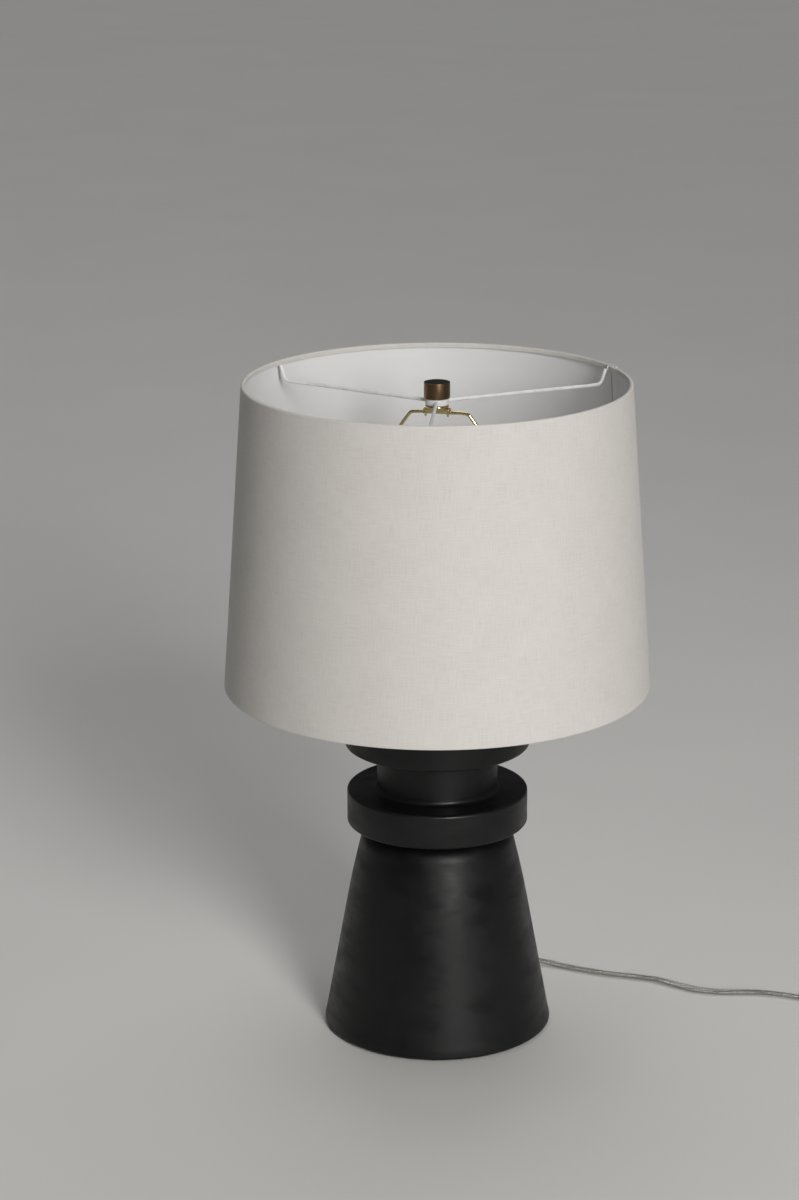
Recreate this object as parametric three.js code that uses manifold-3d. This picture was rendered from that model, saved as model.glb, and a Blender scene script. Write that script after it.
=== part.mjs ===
// Table lamp with a tapered drum shade: a turned black base stacked on a threaded rod, a mains socket with a bulb,
// a harp with a finial, and a hardback shade on a three-armed spider. Millimetres, +Z up, front towards -Y.
// The lamp stands on z = 0 and its axis is the z axis.
import * as THREE from "three";
import { mergeVertices } from "three/addons/utils/BufferGeometryUtils.js";
import Module from "manifold-3d";

const wasm = await Module();
wasm.setup();

// ---------------------------------------------------------------- driving dimensions
const GAP = 0.3; // left between separate pieces that touch
const LAYER_GAP = 0.1; // left between the coaxial layers of the shade's wall

const ROUND_LARGE = 40; // facets round the base and the shade
const ROUND_SMALL = 20; // facets round the hardware

// base, from the table up
const FELT_RADIUS = 101;
const FELT_THICKNESS = 1.5;
const CONE_RADIUS = 107.3; // at the foot
const CONE_TAPER = 0.183; // radius lost per mm of height
const CONE_UPPER_TAPER = 0.235;
const CONE_BEND_LOW = 125; // the taper grows between these two heights
const CONE_BEND_HIGH = 165;
const CONE_FOOT_ROUND = 2.9;
const CONE_SHOULDER_Z = 183;
const CONE_SHOULDER_ROUND = 16.5;
const STEM_RADIUS = 58; // between the shoulder and the collar
const COLLAR_Z = 201.5;
const COLLAR_RADIUS = 84.7;
const COLLAR_HEIGHT = 32.9;
const NECK_RADIUS = 56.5;
const NECK_HEIGHT = 43.1;
const NECK_FILLET = 4;
const DISC_RADIUS = 86.5;
const DISC_HEIGHT = 38;
const TURNED_EDGE = 2.7; // rounding of the collar's and the upper disc's edges
const CAPITAL_RADIUS = 24; // the raised land on top of the upper disc
const CAPITAL_RISE = 6.5;
const RECESS_RADIUS = 40;
const RECESS_CEILING = 26;
const ROD_BORE = 5.4;

// pipe hardware
const ROD_RADIUS = 4.9;
const ROD_HOLE = 3.6;
const ROD_BOTTOM = 17;
const ROD_TOP = 350;
const CHECK_RING_RADIUS = 22;
const CHECK_RING_HEIGHT = 3;
const NECK_TUBE_RADIUS = 9;
const NECK_TUBE_HEIGHT = 12;
const NUT_HEIGHT = 5;
const NUT_RADIUS = 9.2; // to its corners
const LOCKNUT_HEIGHT = 3;

// socket and bulb
const SOCKET_RADIUS = 18.2;
const SOCKET_TOP = 398;
const SHELL_WALL = 0.7;
const KNOB_Z = 371;
const SHAFT_RADIUS = 2.2;
const KNOB_RADIUS = 6;
const BULB_RADIUS = 30;
const BULB_TOP = 492;
const BULB_FOOT = 382.6;
const BULB_SCREW_RADIUS = 13.2;
const SCREW_SHELL_RADIUS = 13.9; // inside

// harp
const HARP_TURN = THREE.MathUtils.degToRad(-14); // its plane against the x axis
const HARP_WIRE = 1.6; // wire radius
const HARP_TOP = 594.1; // wire centre
const HARP_LEAN = 2.4; // the wire's shoulders are pushed over this far to one side
const HARP_LEG_X = 28.6;
const SADDLE_WIDTH = 16;
const SADDLE_THICKNESS = 1.6;
const TONGUE_X = 31.3;
const TONGUE_HEIGHT = 20;
const FERRULE_X = 29.6;
const FERRULE_RADIUS = 4.3;
const FERRULE_BORE = 3.5;
const FERRULE_HEIGHT = 10;
const STUD_RADIUS = 3.1;
const STUD_TOP = 614;
const SEAT_RADIUS = 10.9;

// shade
const SHADE_TOP = 622.2;
const SHADE_BOTTOM = 337.1;
const SHADE_TOP_RADIUS = 177.8;
const SHADE_BOTTOM_RADIUS = 197.95;
const CLOTH_THICKNESS = 0.4; // the lining is as thick
const RING_WIRE = 1; // radius of the two steel rings
const HEM_DEPTH = 4.6; // how far the cloth is turned down inside each rim
const HUB_BOTTOM = 601.3;
const HUB_HEIGHT = 6;
const HUB_RADIUS = 10.8;
const HUB_HOLE = 3.6;
const ARM_WIRE = 1.6;
const ARM_DIRECTIONS = { front: -94, right: 24, left: 147.3 }; // degrees from +X
const FINIAL_RADIUS = 12;
const FINIAL_BOTTOM = 607.6;
const FINIAL_POCKET = 5.5;
const INSERT_RADIUS = 5.2;
const INSERT_TOP = 616;

// cord
const CORD_WIDTH = 7.1; // flat two-core cord
const CORD_THICKNESS = 3.6;
const COIL_BOTTOM = 0.1;
const EXIT_DIRECTION = THREE.MathUtils.degToRad(58);
const EXIT_HEIGHT = 14;
const CHANNEL_RADIUS = 5.3;
const RELIEF_TIP = 127.2; // distance of the strain relief's tip from the lamp's axis
const COIL_CENTRE = new THREE.Vector3(411.5, -27.8, 0);
const COIL_MEAN_RADIUS = 39;
const COIL_PITCH = 7.4; // between neighbouring turns
const COIL_TURNS_ACROSS = 3;
const COIL_HEIGHT = 7.5;

// The free cord from the strain relief to the coil, laid by hand: x, y and height of its centre.
const CORD_ROUTE = [
  [67.4, 107.9, 14.0],
  [72.8, 114.4, 13.4],
  [79.6, 119.9, 11.8],
  [88.0, 123.6, 9.3],
  [98.3, 124.8, 6.3],
  [107.0, 123.5, 4.4],
  [114.0, 121.2, 3.8],
  [124.5, 116.0, 2.9],
  [147.0, 104.8, 2.8],
  [172.0, 94.6, 2.8],
  [197.0, 87.2, 2.9],
  [219.5, 77.5, 3.3],
  [234.0, 66.5, 3.4],
  [248.5, 56.8, 3.2],
  [262.0, 51.6, 2.9],
  [277.0, 49.2, 2.6],
  [297.0, 48.8, 2.5],
  [316.0, 47.6, 2.5],
  [334.0, 42.8, 2.5],
  [352.0, 36.2, 2.5],
  [372.0, 29.6, 2.5],
  [394.0, 24.2, 2.5],
];

// The cord's tail from the coil to the plug.
const CORD_TAIL = [
  [454.7, -63.5, 3.6],
  [448.2, -77.6, 2.8],
  [438.5, -88.6, 2.5],
  [426.0, -95.9, 2.7],
  [414.0, -98.6, 4.2],
  [402.6, -99.0, 6.2],
];
const PLUG_REAR = new THREE.Vector3(402.3, -99, 6.2); // where the cord meets the plug's neck, which points along -X

// ---------------------------------------------------------------- materials
const material = (color, roughness, metalness = 0) =>
  new THREE.MeshStandardMaterial({ color, roughness, metalness });

const LOOK = {
  blackWood: () => material(0x151515, 0.55),
  felt: () => material(0x0c0c0c, 1),
  steel: () => material(0x9c9c98, 0.35, 1),
  brass: () => material(0xb8924a, 0.22, 1),
  bronze: () => material(0x6b4d2a, 0.4, 1),
  whiteWire: () => material(0xe8e8e6, 0.4),
  linen: () => material(0xd8d2c6, 0.95),
  lining: () => material(0xefefee, 0.7),
  phenolic: () => material(0x1a1612, 0.5),
  card: () => material(0x8a6f4c, 0.9),
  frosted: () => material(0xf4f3ee, 0.35),
  clearPlastic: () => material(0xc9c9c4, 0.15),
};

// ---------------------------------------------------------------- geometry helpers
const radians = THREE.MathUtils.degToRad;

// Twice the signed area of a closed outline.
function turning(outline) {
  return outline.reduce((sum, [x, y], i) => {
    const [nextX, nextY] = outline[(i + 1) % outline.length];
    return sum + x * nextY - nextX * y;
  }, 0);
}

// Turns a closed outline of [radius, z] points about the z axis. An outline that meets the axis starts and ends there.
function revolve(outline, facets = ROUND_SMALL) {
  const ordered = turning(outline) < 0 ? [...outline].reverse() : [...outline];
  const start = ordered.findIndex(([r], i) => r === 0 && ordered.at(i - 1)[0] === 0);
  const turned = start < 0 ? ordered : [...ordered.slice(start), ...ordered.slice(0, start)];
  if (start < 0) turned.push(turned[0]);
  const points = turned.map(([r, z]) => new THREE.Vector2(r, z));
  return new THREE.LatheGeometry(points, facets).rotateX(Math.PI / 2);
}

// Points of an arc about [cx, cz] from one angle to another, in degrees, both ends included.
function arc(cx, cz, radius, from, to, steps) {
  return Array.from({ length: steps + 1 }, (_, i) => {
    const angle = radians(from + ((to - from) * i) / steps);
    return [cx + radius * Math.cos(angle), cz + radius * Math.sin(angle)];
  });
}

// A ring with a plain rectangular section.
const washer = (outer, inner, bottom, top, facets = ROUND_SMALL) =>
  revolve(
    [
      [inner, bottom],
      [outer, bottom],
      [outer, top],
      [inner, top],
    ],
    facets,
  );

const cylinder = (radius, bottom, top, facets = ROUND_SMALL) =>
  revolve(
    [
      [0, bottom],
      [radius, bottom],
      [radius, top],
      [0, top],
    ],
    facets,
  );

// A box given by its lowest and highest corners.
function block(low, high) {
  const size = high.map((value, axis) => value - low[axis]);
  const middle = high.map((value, axis) => (value + low[axis]) / 2);
  return new THREE.BoxGeometry(...size).translate(...middle);
}

// A round or flattened wire along a smooth curve. The first half-size lies along the curve's normal, which is upright
// on a level run, and the second lies across it.
function sweep(points, halfHeight, halfWidth, steps, sides = 8) {
  const section = new THREE.Shape();
  for (let i = 0; i < sides; i++) {
    const angle = ((i + 0.5) * 2 * Math.PI) / sides;
    const corner = [halfHeight * Math.cos(angle), halfWidth * Math.sin(angle)];
    if (i === 0) section.moveTo(...corner);
    else section.lineTo(...corner);
  }
  const extrudePath = new THREE.CatmullRomCurve3(points, false, "centripetal");
  return new THREE.ExtrudeGeometry(section, { steps, extrudePath, bevelEnabled: false });
}

const vectors = (list) => list.map((xyz) => new THREE.Vector3(...xyz));

// Only joining and cutting go through a solid: these two carry a geometry there and back.
function solidOf(geometry) {
  const bare = geometry.clone();
  bare.deleteAttribute("normal");
  bare.deleteAttribute("uv");
  const merged = mergeVertices(bare, 1e-4);
  return new wasm.Manifold(
    new wasm.Mesh({
      numProp: 3,
      vertProperties: new Float32Array(merged.attributes.position.array),
      triVerts: new Uint32Array(merged.index.array),
    }),
  );
}

function geometryOf(solid) {
  const mesh = solid.getMesh();
  const geometry = new THREE.BufferGeometry();
  geometry.setAttribute("position", new THREE.BufferAttribute(mesh.vertProperties, 3));
  geometry.setIndex(new THREE.BufferAttribute(mesh.triVerts, 1));
  return geometry;
}

const join = (first, ...others) =>
  geometryOf(others.reduce((solid, other) => solid.add(solidOf(other)), solidOf(first)));

const cut = (body, ...tools) =>
  geometryOf(tools.reduce((solid, tool) => solid.subtract(solidOf(tool)), solidOf(body)));

const lamp = new THREE.Group();

function add(name, geometry, look, parent = lamp) {
  const mesh = new THREE.Mesh(geometry, look());
  mesh.name = name;
  parent.add(mesh);
  return mesh;
}

// ---------------------------------------------------------------- base
const NECK_Z = COLLAR_Z + COLLAR_HEIGHT;
const DISC_Z = NECK_Z + NECK_HEIGHT;
const CAPITAL_Z = DISC_Z + DISC_HEIGHT + CAPITAL_RISE;
const TUBE_Z = CAPITAL_Z + CHECK_RING_HEIGHT;
const SADDLE_Z = TUBE_Z + NECK_TUBE_HEIGHT;
const SADDLE_TOP = SADDLE_Z + SADDLE_THICKNESS;
const CAP_Z = SADDLE_TOP + LOCKNUT_HEIGHT;

// A horizontal drill along the direction in which the cord leaves, at its height.
const alongExit = (geometry) =>
  geometry
    .rotateY(Math.PI / 2)
    .rotateZ(EXIT_DIRECTION)
    .translate(0, 0, EXIT_HEIGHT);

function baseCone() {
  const bendHeight = CONE_BEND_HIGH - CONE_BEND_LOW;
  const sideRadius = (z) => {
    const bent = THREE.MathUtils.clamp(z - CONE_BEND_LOW, 0, bendHeight);
    const above = Math.max(z - CONE_BEND_HIGH, 0);
    const extra = (CONE_UPPER_TAPER - CONE_TAPER) * (bent ** 2 / (2 * bendHeight) + above);
    return CONE_RADIUS - CONE_TAPER * (z - CONE_FOOT_ROUND) - extra;
  };
  const footEdge = arc(
    CONE_RADIUS - CONE_FOOT_ROUND,
    FELT_THICKNESS + CONE_FOOT_ROUND,
    CONE_FOOT_ROUND,
    -90,
    0,
    3,
  );
  const shoulderTilt = Math.atan(CONE_UPPER_TAPER);
  const shoulder = arc(
    sideRadius(CONE_SHOULDER_Z) - CONE_SHOULDER_ROUND * Math.cos(shoulderTilt),
    CONE_SHOULDER_Z - CONE_SHOULDER_ROUND * Math.sin(shoulderTilt),
    CONE_SHOULDER_ROUND,
    THREE.MathUtils.radToDeg(shoulderTilt),
    84,
    4,
  );
  const shoulderEnd = shoulder.at(-1)[1];
  const outline = [
    [RECESS_RADIUS, FELT_THICKNESS],
    ...footEdge,
    ...[CONE_BEND_LOW, 145, CONE_BEND_HIGH].map((z) => [sideRadius(z), z]),
    ...shoulder,
    [STEM_RADIUS, shoulderEnd],
    [STEM_RADIUS, COLLAR_Z],
    [ROD_BORE, COLLAR_Z],
    [ROD_BORE, RECESS_CEILING],
    [RECESS_RADIUS, RECESS_CEILING],
  ];
  const channel = alongExit(cylinder(CHANNEL_RADIUS, RECESS_RADIUS - 6, CONE_RADIUS + 10, 12));
  return cut(revolve(outline, ROUND_LARGE), channel);
}

// A turned disc with rounded rims and the rod's bore; topOutline takes its upper face from the rim to the bore.
function turnedDisc(radius, bottom, height, topOutline) {
  const top = bottom + height;
  const inner = radius - TURNED_EDGE;
  const outline = [
    [ROD_BORE, bottom],
    ...arc(inner, bottom + TURNED_EDGE, TURNED_EDGE, -90, 0, 3),
    ...arc(inner, top - TURNED_EDGE, TURNED_EDGE, 0, 90, 3),
    ...topOutline,
  ];
  return revolve(outline, ROUND_LARGE);
}

function neckSpool() {
  const outline = [
    [ROD_BORE, NECK_Z],
    ...arc(NECK_RADIUS + NECK_FILLET, NECK_Z + NECK_FILLET, NECK_FILLET, 270, 180, 3),
    [NECK_RADIUS, DISC_Z],
    [ROD_BORE, DISC_Z],
  ];
  return revolve(outline, ROUND_LARGE);
}

add("felt_pad", cylinder(FELT_RADIUS, 0, FELT_THICKNESS, ROUND_LARGE), LOOK.felt);
add("base_cone", baseCone(), LOOK.blackWood);
add(
  "base_collar",
  turnedDisc(COLLAR_RADIUS, COLLAR_Z, COLLAR_HEIGHT, [[ROD_BORE, NECK_Z]]),
  LOOK.blackWood,
);
add("neck_spool", neckSpool(), LOOK.blackWood);
add(
  "upper_disc",
  turnedDisc(DISC_RADIUS, DISC_Z, DISC_HEIGHT, [
    [DISC_RADIUS * 0.6, CAPITAL_Z - CAPITAL_RISE * 0.6],
    [CAPITAL_RADIUS, CAPITAL_Z],
    [ROD_BORE, CAPITAL_Z],
  ]),
  LOOK.blackWood,
);

// ---------------------------------------------------------------- rod and what is threaded on it
function hexNut(bottom, height, hole) {
  return washer(NUT_RADIUS, hole, bottom, bottom + height, 6);
}

const WASHER_THICKNESS = 2;
const LOCK_WASHER_THICKNESS = 1;
const washerZ = RECESS_CEILING - WASHER_THICKNESS;
const lockWasherZ = washerZ - LOCK_WASHER_THICKNESS;

add("threaded_rod", washer(ROD_RADIUS, ROD_HOLE, ROD_BOTTOM, ROD_TOP, 16), LOOK.steel);
add("bottom_washer", washer(19, ROD_BORE, washerZ, RECESS_CEILING), LOOK.steel);
add("lock_washer", washer(8, ROD_BORE, lockWasherZ, washerZ, 16), LOOK.steel);
add("bottom_nut", hexNut(lockWasherZ - NUT_HEIGHT, NUT_HEIGHT, ROD_BORE + 0.4), LOOK.steel);
add("check_ring", washer(CHECK_RING_RADIUS, ROD_BORE, CAPITAL_Z, TUBE_Z, 24), LOOK.brass);
add("neck_tube", washer(NECK_TUBE_RADIUS, ROD_BORE, TUBE_Z, SADDLE_Z), LOOK.brass);

// ---------------------------------------------------------------- harp, in its own turned group
const harp = new THREE.Group();
harp.rotation.z = HARP_TURN;
lamp.add(harp);

function harpSaddle() {
  const reach = TONGUE_X + 0.7;
  const plate = block(
    [-reach, -SADDLE_WIDTH / 2, SADDLE_Z],
    [reach, SADDLE_WIDTH / 2, SADDLE_TOP],
  );
  const tongues = [-1, 1].map((side) =>
    block(
      [side * TONGUE_X - 0.7, -2, SADDLE_Z + SADDLE_THICKNESS / 2],
      [side * TONGUE_X + 0.7, 2, SADDLE_TOP + TONGUE_HEIGHT],
    ),
  );
  return cut(join(plate, ...tongues), cylinder(ROD_BORE, SADDLE_Z - 1, SADDLE_TOP + 1));
}

// Half of the harp's outline from its foot to the middle of its crossbar, [distance from the axis, z].
const HARP_SIDE = [
  [HARP_LEG_X, SADDLE_TOP + 0.5],
  [HARP_LEG_X, 356],
  [HARP_LEG_X, 372],
  [31, 388],
  [40, 412],
  [50, 440],
  [56, 472],
  [57, 504],
  [54, 532],
  [47.5, 558],
  [38.5, 577],
  [30.2, 589.1],
  [26.6, 593.1],
  [21.5, HARP_TOP],
  [12, HARP_TOP],
  [0, HARP_TOP],
];

function harpWire() {
  const lean = (z) => HARP_LEAN * THREE.MathUtils.smoothstep(z, 372, 560);
  const left = HARP_SIDE.map(([x, z]) => [lean(z) - x, 0, z]);
  const right = HARP_SIDE.slice(0, -1)
    .reverse()
    .map(([x, z]) => [lean(z) + x, 0, z]);
  return sweep(vectors([...left, ...right]), HARP_WIRE, HARP_WIRE, 56);
}

// The crimped strap over the crossbar: a channel with a claw round the wire at each end.
function harpCrosspiece() {
  const halfLength = 12.2;
  const halfWidth = 4;
  const wall = 1.2;
  const channelTop = HARP_TOP + HARP_WIRE + 2.2;
  const channelBottom = HARP_TOP - HARP_WIRE;
  const roof = block(
    [-halfLength, -halfWidth, channelTop - 1.6],
    [halfLength, halfWidth, channelTop],
  );
  const flanges = [-1, 1].map((side) =>
    block(
      [-halfLength, side * (halfWidth - wall / 2) - wall / 2, channelBottom],
      [halfLength, side * (halfWidth - wall / 2) + wall / 2, channelTop - 0.5],
    ),
  );
  const claws = [-1, 1].map((side) =>
    block(
      [side * 10.4 - 1.6, -halfWidth, channelBottom - 1.8],
      [side * 10.4 + 1.6, halfWidth, channelBottom - 0.5],
    ),
  );
  const clawSides = [-1, 1].flatMap((end) =>
    [-1, 1].map((side) =>
      block(
        [end * 10.4 - 1.6, side * (halfWidth - wall / 2) - wall / 2, channelBottom - 1.8],
        [end * 10.4 + 1.6, side * (halfWidth - wall / 2) + wall / 2, channelBottom + 1],
      ),
    ),
  );
  return join(roof, ...flanges, ...clawSides, ...claws);
}

function harpStud() {
  const seatBottom = HARP_TOP + HARP_WIRE + 2.2 + GAP;
  const seatTop = HUB_BOTTOM - GAP;
  return revolve([
    [0, seatBottom],
    [SEAT_RADIUS, seatBottom],
    [SEAT_RADIUS, seatTop],
    [STUD_RADIUS, seatTop],
    [STUD_RADIUS, STUD_TOP - 1],
    [STUD_RADIUS - 0.8, STUD_TOP],
    [0, STUD_TOP],
  ]);
}

add("harp_saddle", harpSaddle(), LOOK.brass, harp);
add(
  "saddle_locknut",
  hexNut(SADDLE_TOP + 0.1, LOCKNUT_HEIGHT - 0.2, ROD_BORE + 0.4),
  LOOK.brass,
  harp,
);
add("harp_wire", harpWire(), LOOK.brass, harp);
add("harp_crosspiece", harpCrosspiece(), LOOK.brass, harp);
add("harp_stud", harpStud(), LOOK.brass, harp);
for (const [name, side] of [
  ["harp_ferrule_left", -1],
  ["harp_ferrule_right", 1],
]) {
  const bottom = SADDLE_TOP + GAP;
  const sleeve = washer(FERRULE_RADIUS, FERRULE_BORE, bottom, bottom + FERRULE_HEIGHT, 12);
  add(name, sleeve, LOOK.brass, harp).position.x = side * FERRULE_X;
}

// ---------------------------------------------------------------- socket
const CAP_RADIUS = SOCKET_RADIUS - SHELL_WALL - GAP;
const CAP_TOP = CAP_Z + 18;
const SHELL_Z = CAP_TOP - 4;
const SLEEVE_RADIUS = SOCKET_RADIUS - SHELL_WALL - 0.4;
const INTERIOR_TOP = 380;
const INTERIOR_RADIUS = SLEEVE_RADIUS - 1.1;

// Turned about the z axis so that a piece made along +Z points across the harp's plane, at the switch's height.
const alongSwitch = (geometry) =>
  geometry
    .rotateX(Math.PI / 2)
    .rotateZ(HARP_TURN)
    .translate(0, 0, KNOB_Z);

function socketCap() {
  const wall = 0.9;
  return revolve([
    [ROD_BORE, CAP_Z],
    [9.5, CAP_Z],
    [11, CAP_Z + 5],
    [CAP_RADIUS - 1.5, CAP_Z + 10.5],
    [CAP_RADIUS, CAP_Z + 13],
    [CAP_RADIUS, CAP_TOP],
    [CAP_RADIUS - wall, CAP_TOP],
    [CAP_RADIUS - wall, CAP_Z + 13.4],
    [CAP_RADIUS - 2.4, CAP_Z + 11.4],
    [10.2, CAP_Z + 6],
    [ROD_BORE, CAP_Z + 6],
  ]);
}

function socketShell() {
  const inside = SOCKET_RADIUS - SHELL_WALL;
  const bead = SOCKET_RADIUS + 0.7;
  const shell = revolve([
    [inside, SHELL_Z],
    [SOCKET_RADIUS, SHELL_Z],
    [SOCKET_RADIUS, SOCKET_TOP - 3.5],
    [bead, SOCKET_TOP - 2.5],
    [bead, SOCKET_TOP],
    [inside, SOCKET_TOP],
  ]);
  return cut(shell, alongSwitch(cylinder(3.4, 5, SOCKET_RADIUS + 5, 12)));
}

function insulatingSleeve() {
  const sleeve = washer(SLEEVE_RADIUS, SLEEVE_RADIUS - 0.7, CAP_TOP + GAP, SOCKET_TOP - 1.5);
  return cut(sleeve, alongSwitch(cylinder(3.4, 5, SOCKET_RADIUS + 5, 12)));
}

function socketInterior() {
  const body = cylinder(INTERIOR_RADIUS, CAP_TOP + 1, INTERIOR_TOP);
  return cut(body, alongSwitch(cylinder(SHAFT_RADIUS + 0.4, 7, SOCKET_RADIUS + 5, 12)));
}

add("socket_cap", socketCap(), LOOK.brass);
add("socket_shell", socketShell(), LOOK.brass);
add("insulating_sleeve", insulatingSleeve(), LOOK.card);
add("socket_interior", socketInterior(), LOOK.phenolic);
add(
  "screw_shell",
  washer(SCREW_SHELL_RADIUS + 0.7, SCREW_SHELL_RADIUS, INTERIOR_TOP + 0.1, SOCKET_TOP - 1),
  LOOK.brass,
);
add("centre_contact", cylinder(3.6, INTERIOR_TOP + 0.1, INTERIOR_TOP + 2.2, 12), LOOK.brass);
for (const [name, side] of [
  ["terminal_screw_left", -1],
  ["terminal_screw_right", 1],
]) {
  const screw = cylinder(2.6, CAP_TOP - 2.4, CAP_TOP + 0.7, 8);
  add(name, screw, LOOK.brass, harp).position.x = side * 10;
}

// The rotary switch: a shaft into the socket's interior and a ribbed knob on its end.
function switchKnob() {
  const ribs = 12;
  const outline = new THREE.Shape();
  for (let i = 0; i < ribs * 2; i++) {
    const radius = i % 2 ? KNOB_RADIUS - 0.7 : KNOB_RADIUS;
    const angle = (i * Math.PI) / ribs;
    const corner = [radius * Math.cos(angle), radius * Math.sin(angle)];
    if (i === 0) outline.moveTo(...corner);
    else outline.lineTo(...corner);
  }
  const grip = new THREE.ExtrudeGeometry(outline, { depth: 13, bevelEnabled: false });
  return cut(grip.translate(0, 0, 24), cylinder(SHAFT_RADIUS + GAP, 23, 33, 12));
}

add("switch_shaft", alongSwitch(cylinder(SHAFT_RADIUS, 7.4, 32.5, 12)), LOOK.brass);
add("switch_knob", alongSwitch(switchKnob()), LOOK.phenolic);

// ---------------------------------------------------------------- bulb
const BULB_CAP_Z = BULB_FOOT + 6;
const BULB_CAP_TOP = BULB_CAP_Z + 20;

function bulbScrewBase() {
  const wall = 0.6;
  const ridges = Array.from({ length: 4 }, (_, i) => BULB_CAP_Z + 2.4 + i * 3.6).flatMap((z) => [
    [BULB_SCREW_RADIUS - 0.7, z],
    [BULB_SCREW_RADIUS, z + 1.8],
  ]);
  return revolve([
    [0, BULB_CAP_Z],
    [9, BULB_CAP_Z],
    ...ridges,
    [BULB_SCREW_RADIUS - 0.7, BULB_CAP_TOP - 3],
    [BULB_SCREW_RADIUS, BULB_CAP_TOP],
    [BULB_SCREW_RADIUS - wall, BULB_CAP_TOP],
    [BULB_SCREW_RADIUS - 0.7 - wall, BULB_CAP_TOP - 3],
    [BULB_SCREW_RADIUS - 0.7 - wall, BULB_CAP_Z + 2.6],
    [0, BULB_CAP_Z + 2.6],
  ]);
}

function bulbGlass() {
  const wall = 1;
  const neck = BULB_SCREW_RADIUS - 1.7;
  const middle = BULB_TOP - BULB_RADIUS;
  const outside = [
    [neck, BULB_CAP_TOP - 10],
    [neck, BULB_CAP_TOP + 1],
    [neck + 3.2, BULB_CAP_TOP + 9],
    [BULB_RADIUS - 5, middle - 22],
    ...arc(0, middle, BULB_RADIUS, -25, 90, 8),
  ];
  const inside = [
    ...arc(0, middle, BULB_RADIUS - wall, 90, -25, 8),
    [BULB_RADIUS - 5 - wall, middle - 22],
    [neck + 3.2 - wall, BULB_CAP_TOP + 9],
    [neck - wall, BULB_CAP_TOP + 1],
    [neck - wall, BULB_CAP_TOP - 10],
  ];
  outside.at(-1)[0] = 0;
  inside[0][0] = 0;
  return revolve([...outside, ...inside]);
}

add(
  "bulb_contact",
  revolve(
    [
      [0, BULB_FOOT],
      [2, BULB_FOOT],
      [3.4, BULB_FOOT + 1],
      [3.4, BULB_FOOT + 2],
      [0, BULB_FOOT + 2],
    ],
    12,
  ),
  LOOK.brass,
);
add(
  "bulb_insulator",
  revolve([
    [0, BULB_FOOT + 2.1],
    [4.4, BULB_FOOT + 2.1],
    [8.8, BULB_CAP_Z - 0.1],
    [0, BULB_CAP_Z - 0.1],
  ]),
  LOOK.phenolic,
);
add("bulb_screw_base", bulbScrewBase(), LOOK.steel);
add("bulb_glass", bulbGlass(), LOOK.frosted);

// ---------------------------------------------------------------- shade
const SHADE_SLOPE = (SHADE_BOTTOM_RADIUS - SHADE_TOP_RADIUS) / (SHADE_TOP - SHADE_BOTTOM);
const LINING_OUTSIDE = CLOTH_THICKNESS + LAYER_GAP;
const RING_DEPTH = LINING_OUTSIDE + CLOTH_THICKNESS + LAYER_GAP + RING_WIRE;
const HEM_INSIDE = RING_DEPTH + RING_WIRE + LAYER_GAP + CLOTH_THICKNESS;

// Radius at a height, a given depth inside the shade's outermost surface.
const shadeRadius = (z, depth) => SHADE_TOP_RADIUS + SHADE_SLOPE * (SHADE_TOP - z) - depth;

// The outer cloth: one wall turned over the ring at each rim and down inside it, as [depth, distance from the rim].
function shadeCloth() {
  const outer = HEM_INSIDE;
  const inner = HEM_INSIDE - CLOTH_THICKNESS;
  const outsideOfTurn = [
    [0, 1.3],
    [0.4, 0.4],
    [1.3, 0],
    [outer - 1.3, 0],
    [outer - 0.4, 0.4],
    [outer, 1.3],
    [outer, HEM_DEPTH],
  ];
  const insideOfTurn = [
    [inner, HEM_DEPTH],
    [inner, 1.4],
    [inner - 0.3, 0.7],
    [outer - 1.3, CLOTH_THICKNESS],
    [1.3, CLOTH_THICKNESS],
    [0.7, 0.7],
    [CLOTH_THICKNESS, 1.4],
  ];
  const turn = [...outsideOfTurn, ...insideOfTurn];
  const atTop = turn.map(([depth, fall]) => [SHADE_TOP - fall, depth]);
  const atBottom = turn.map(([depth, rise]) => [SHADE_BOTTOM + rise, depth]).reverse();
  return revolve(
    [...atTop, ...atBottom].map(([z, depth]) => [shadeRadius(z, depth), z]),
    ROUND_LARGE,
  );
}

function shadeLining() {
  const low = SHADE_BOTTOM + 1.5;
  const high = SHADE_TOP - 1.5;
  const outline = [
    [shadeRadius(low, LINING_OUTSIDE + CLOTH_THICKNESS), low],
    [shadeRadius(low, LINING_OUTSIDE), low],
    [shadeRadius(high, LINING_OUTSIDE), high],
    [shadeRadius(high, LINING_OUTSIDE + CLOTH_THICKNESS), high],
  ];
  return revolve(outline, ROUND_LARGE);
}

function rimRing(z) {
  return revolve(arc(shadeRadius(z, RING_DEPTH), z, RING_WIRE, 0, 300, 5), ROUND_LARGE);
}

const ringInset = CLOTH_THICKNESS + 2 * LAYER_GAP + RING_WIRE;
add("shade_fabric", shadeCloth(), LOOK.linen);
add("shade_lining", shadeLining(), LOOK.lining);
add("shade_top_ring", rimRing(SHADE_TOP - ringInset), LOOK.whiteWire);
add("shade_bottom_ring", rimRing(SHADE_BOTTOM + ringInset), LOOK.whiteWire);

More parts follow.
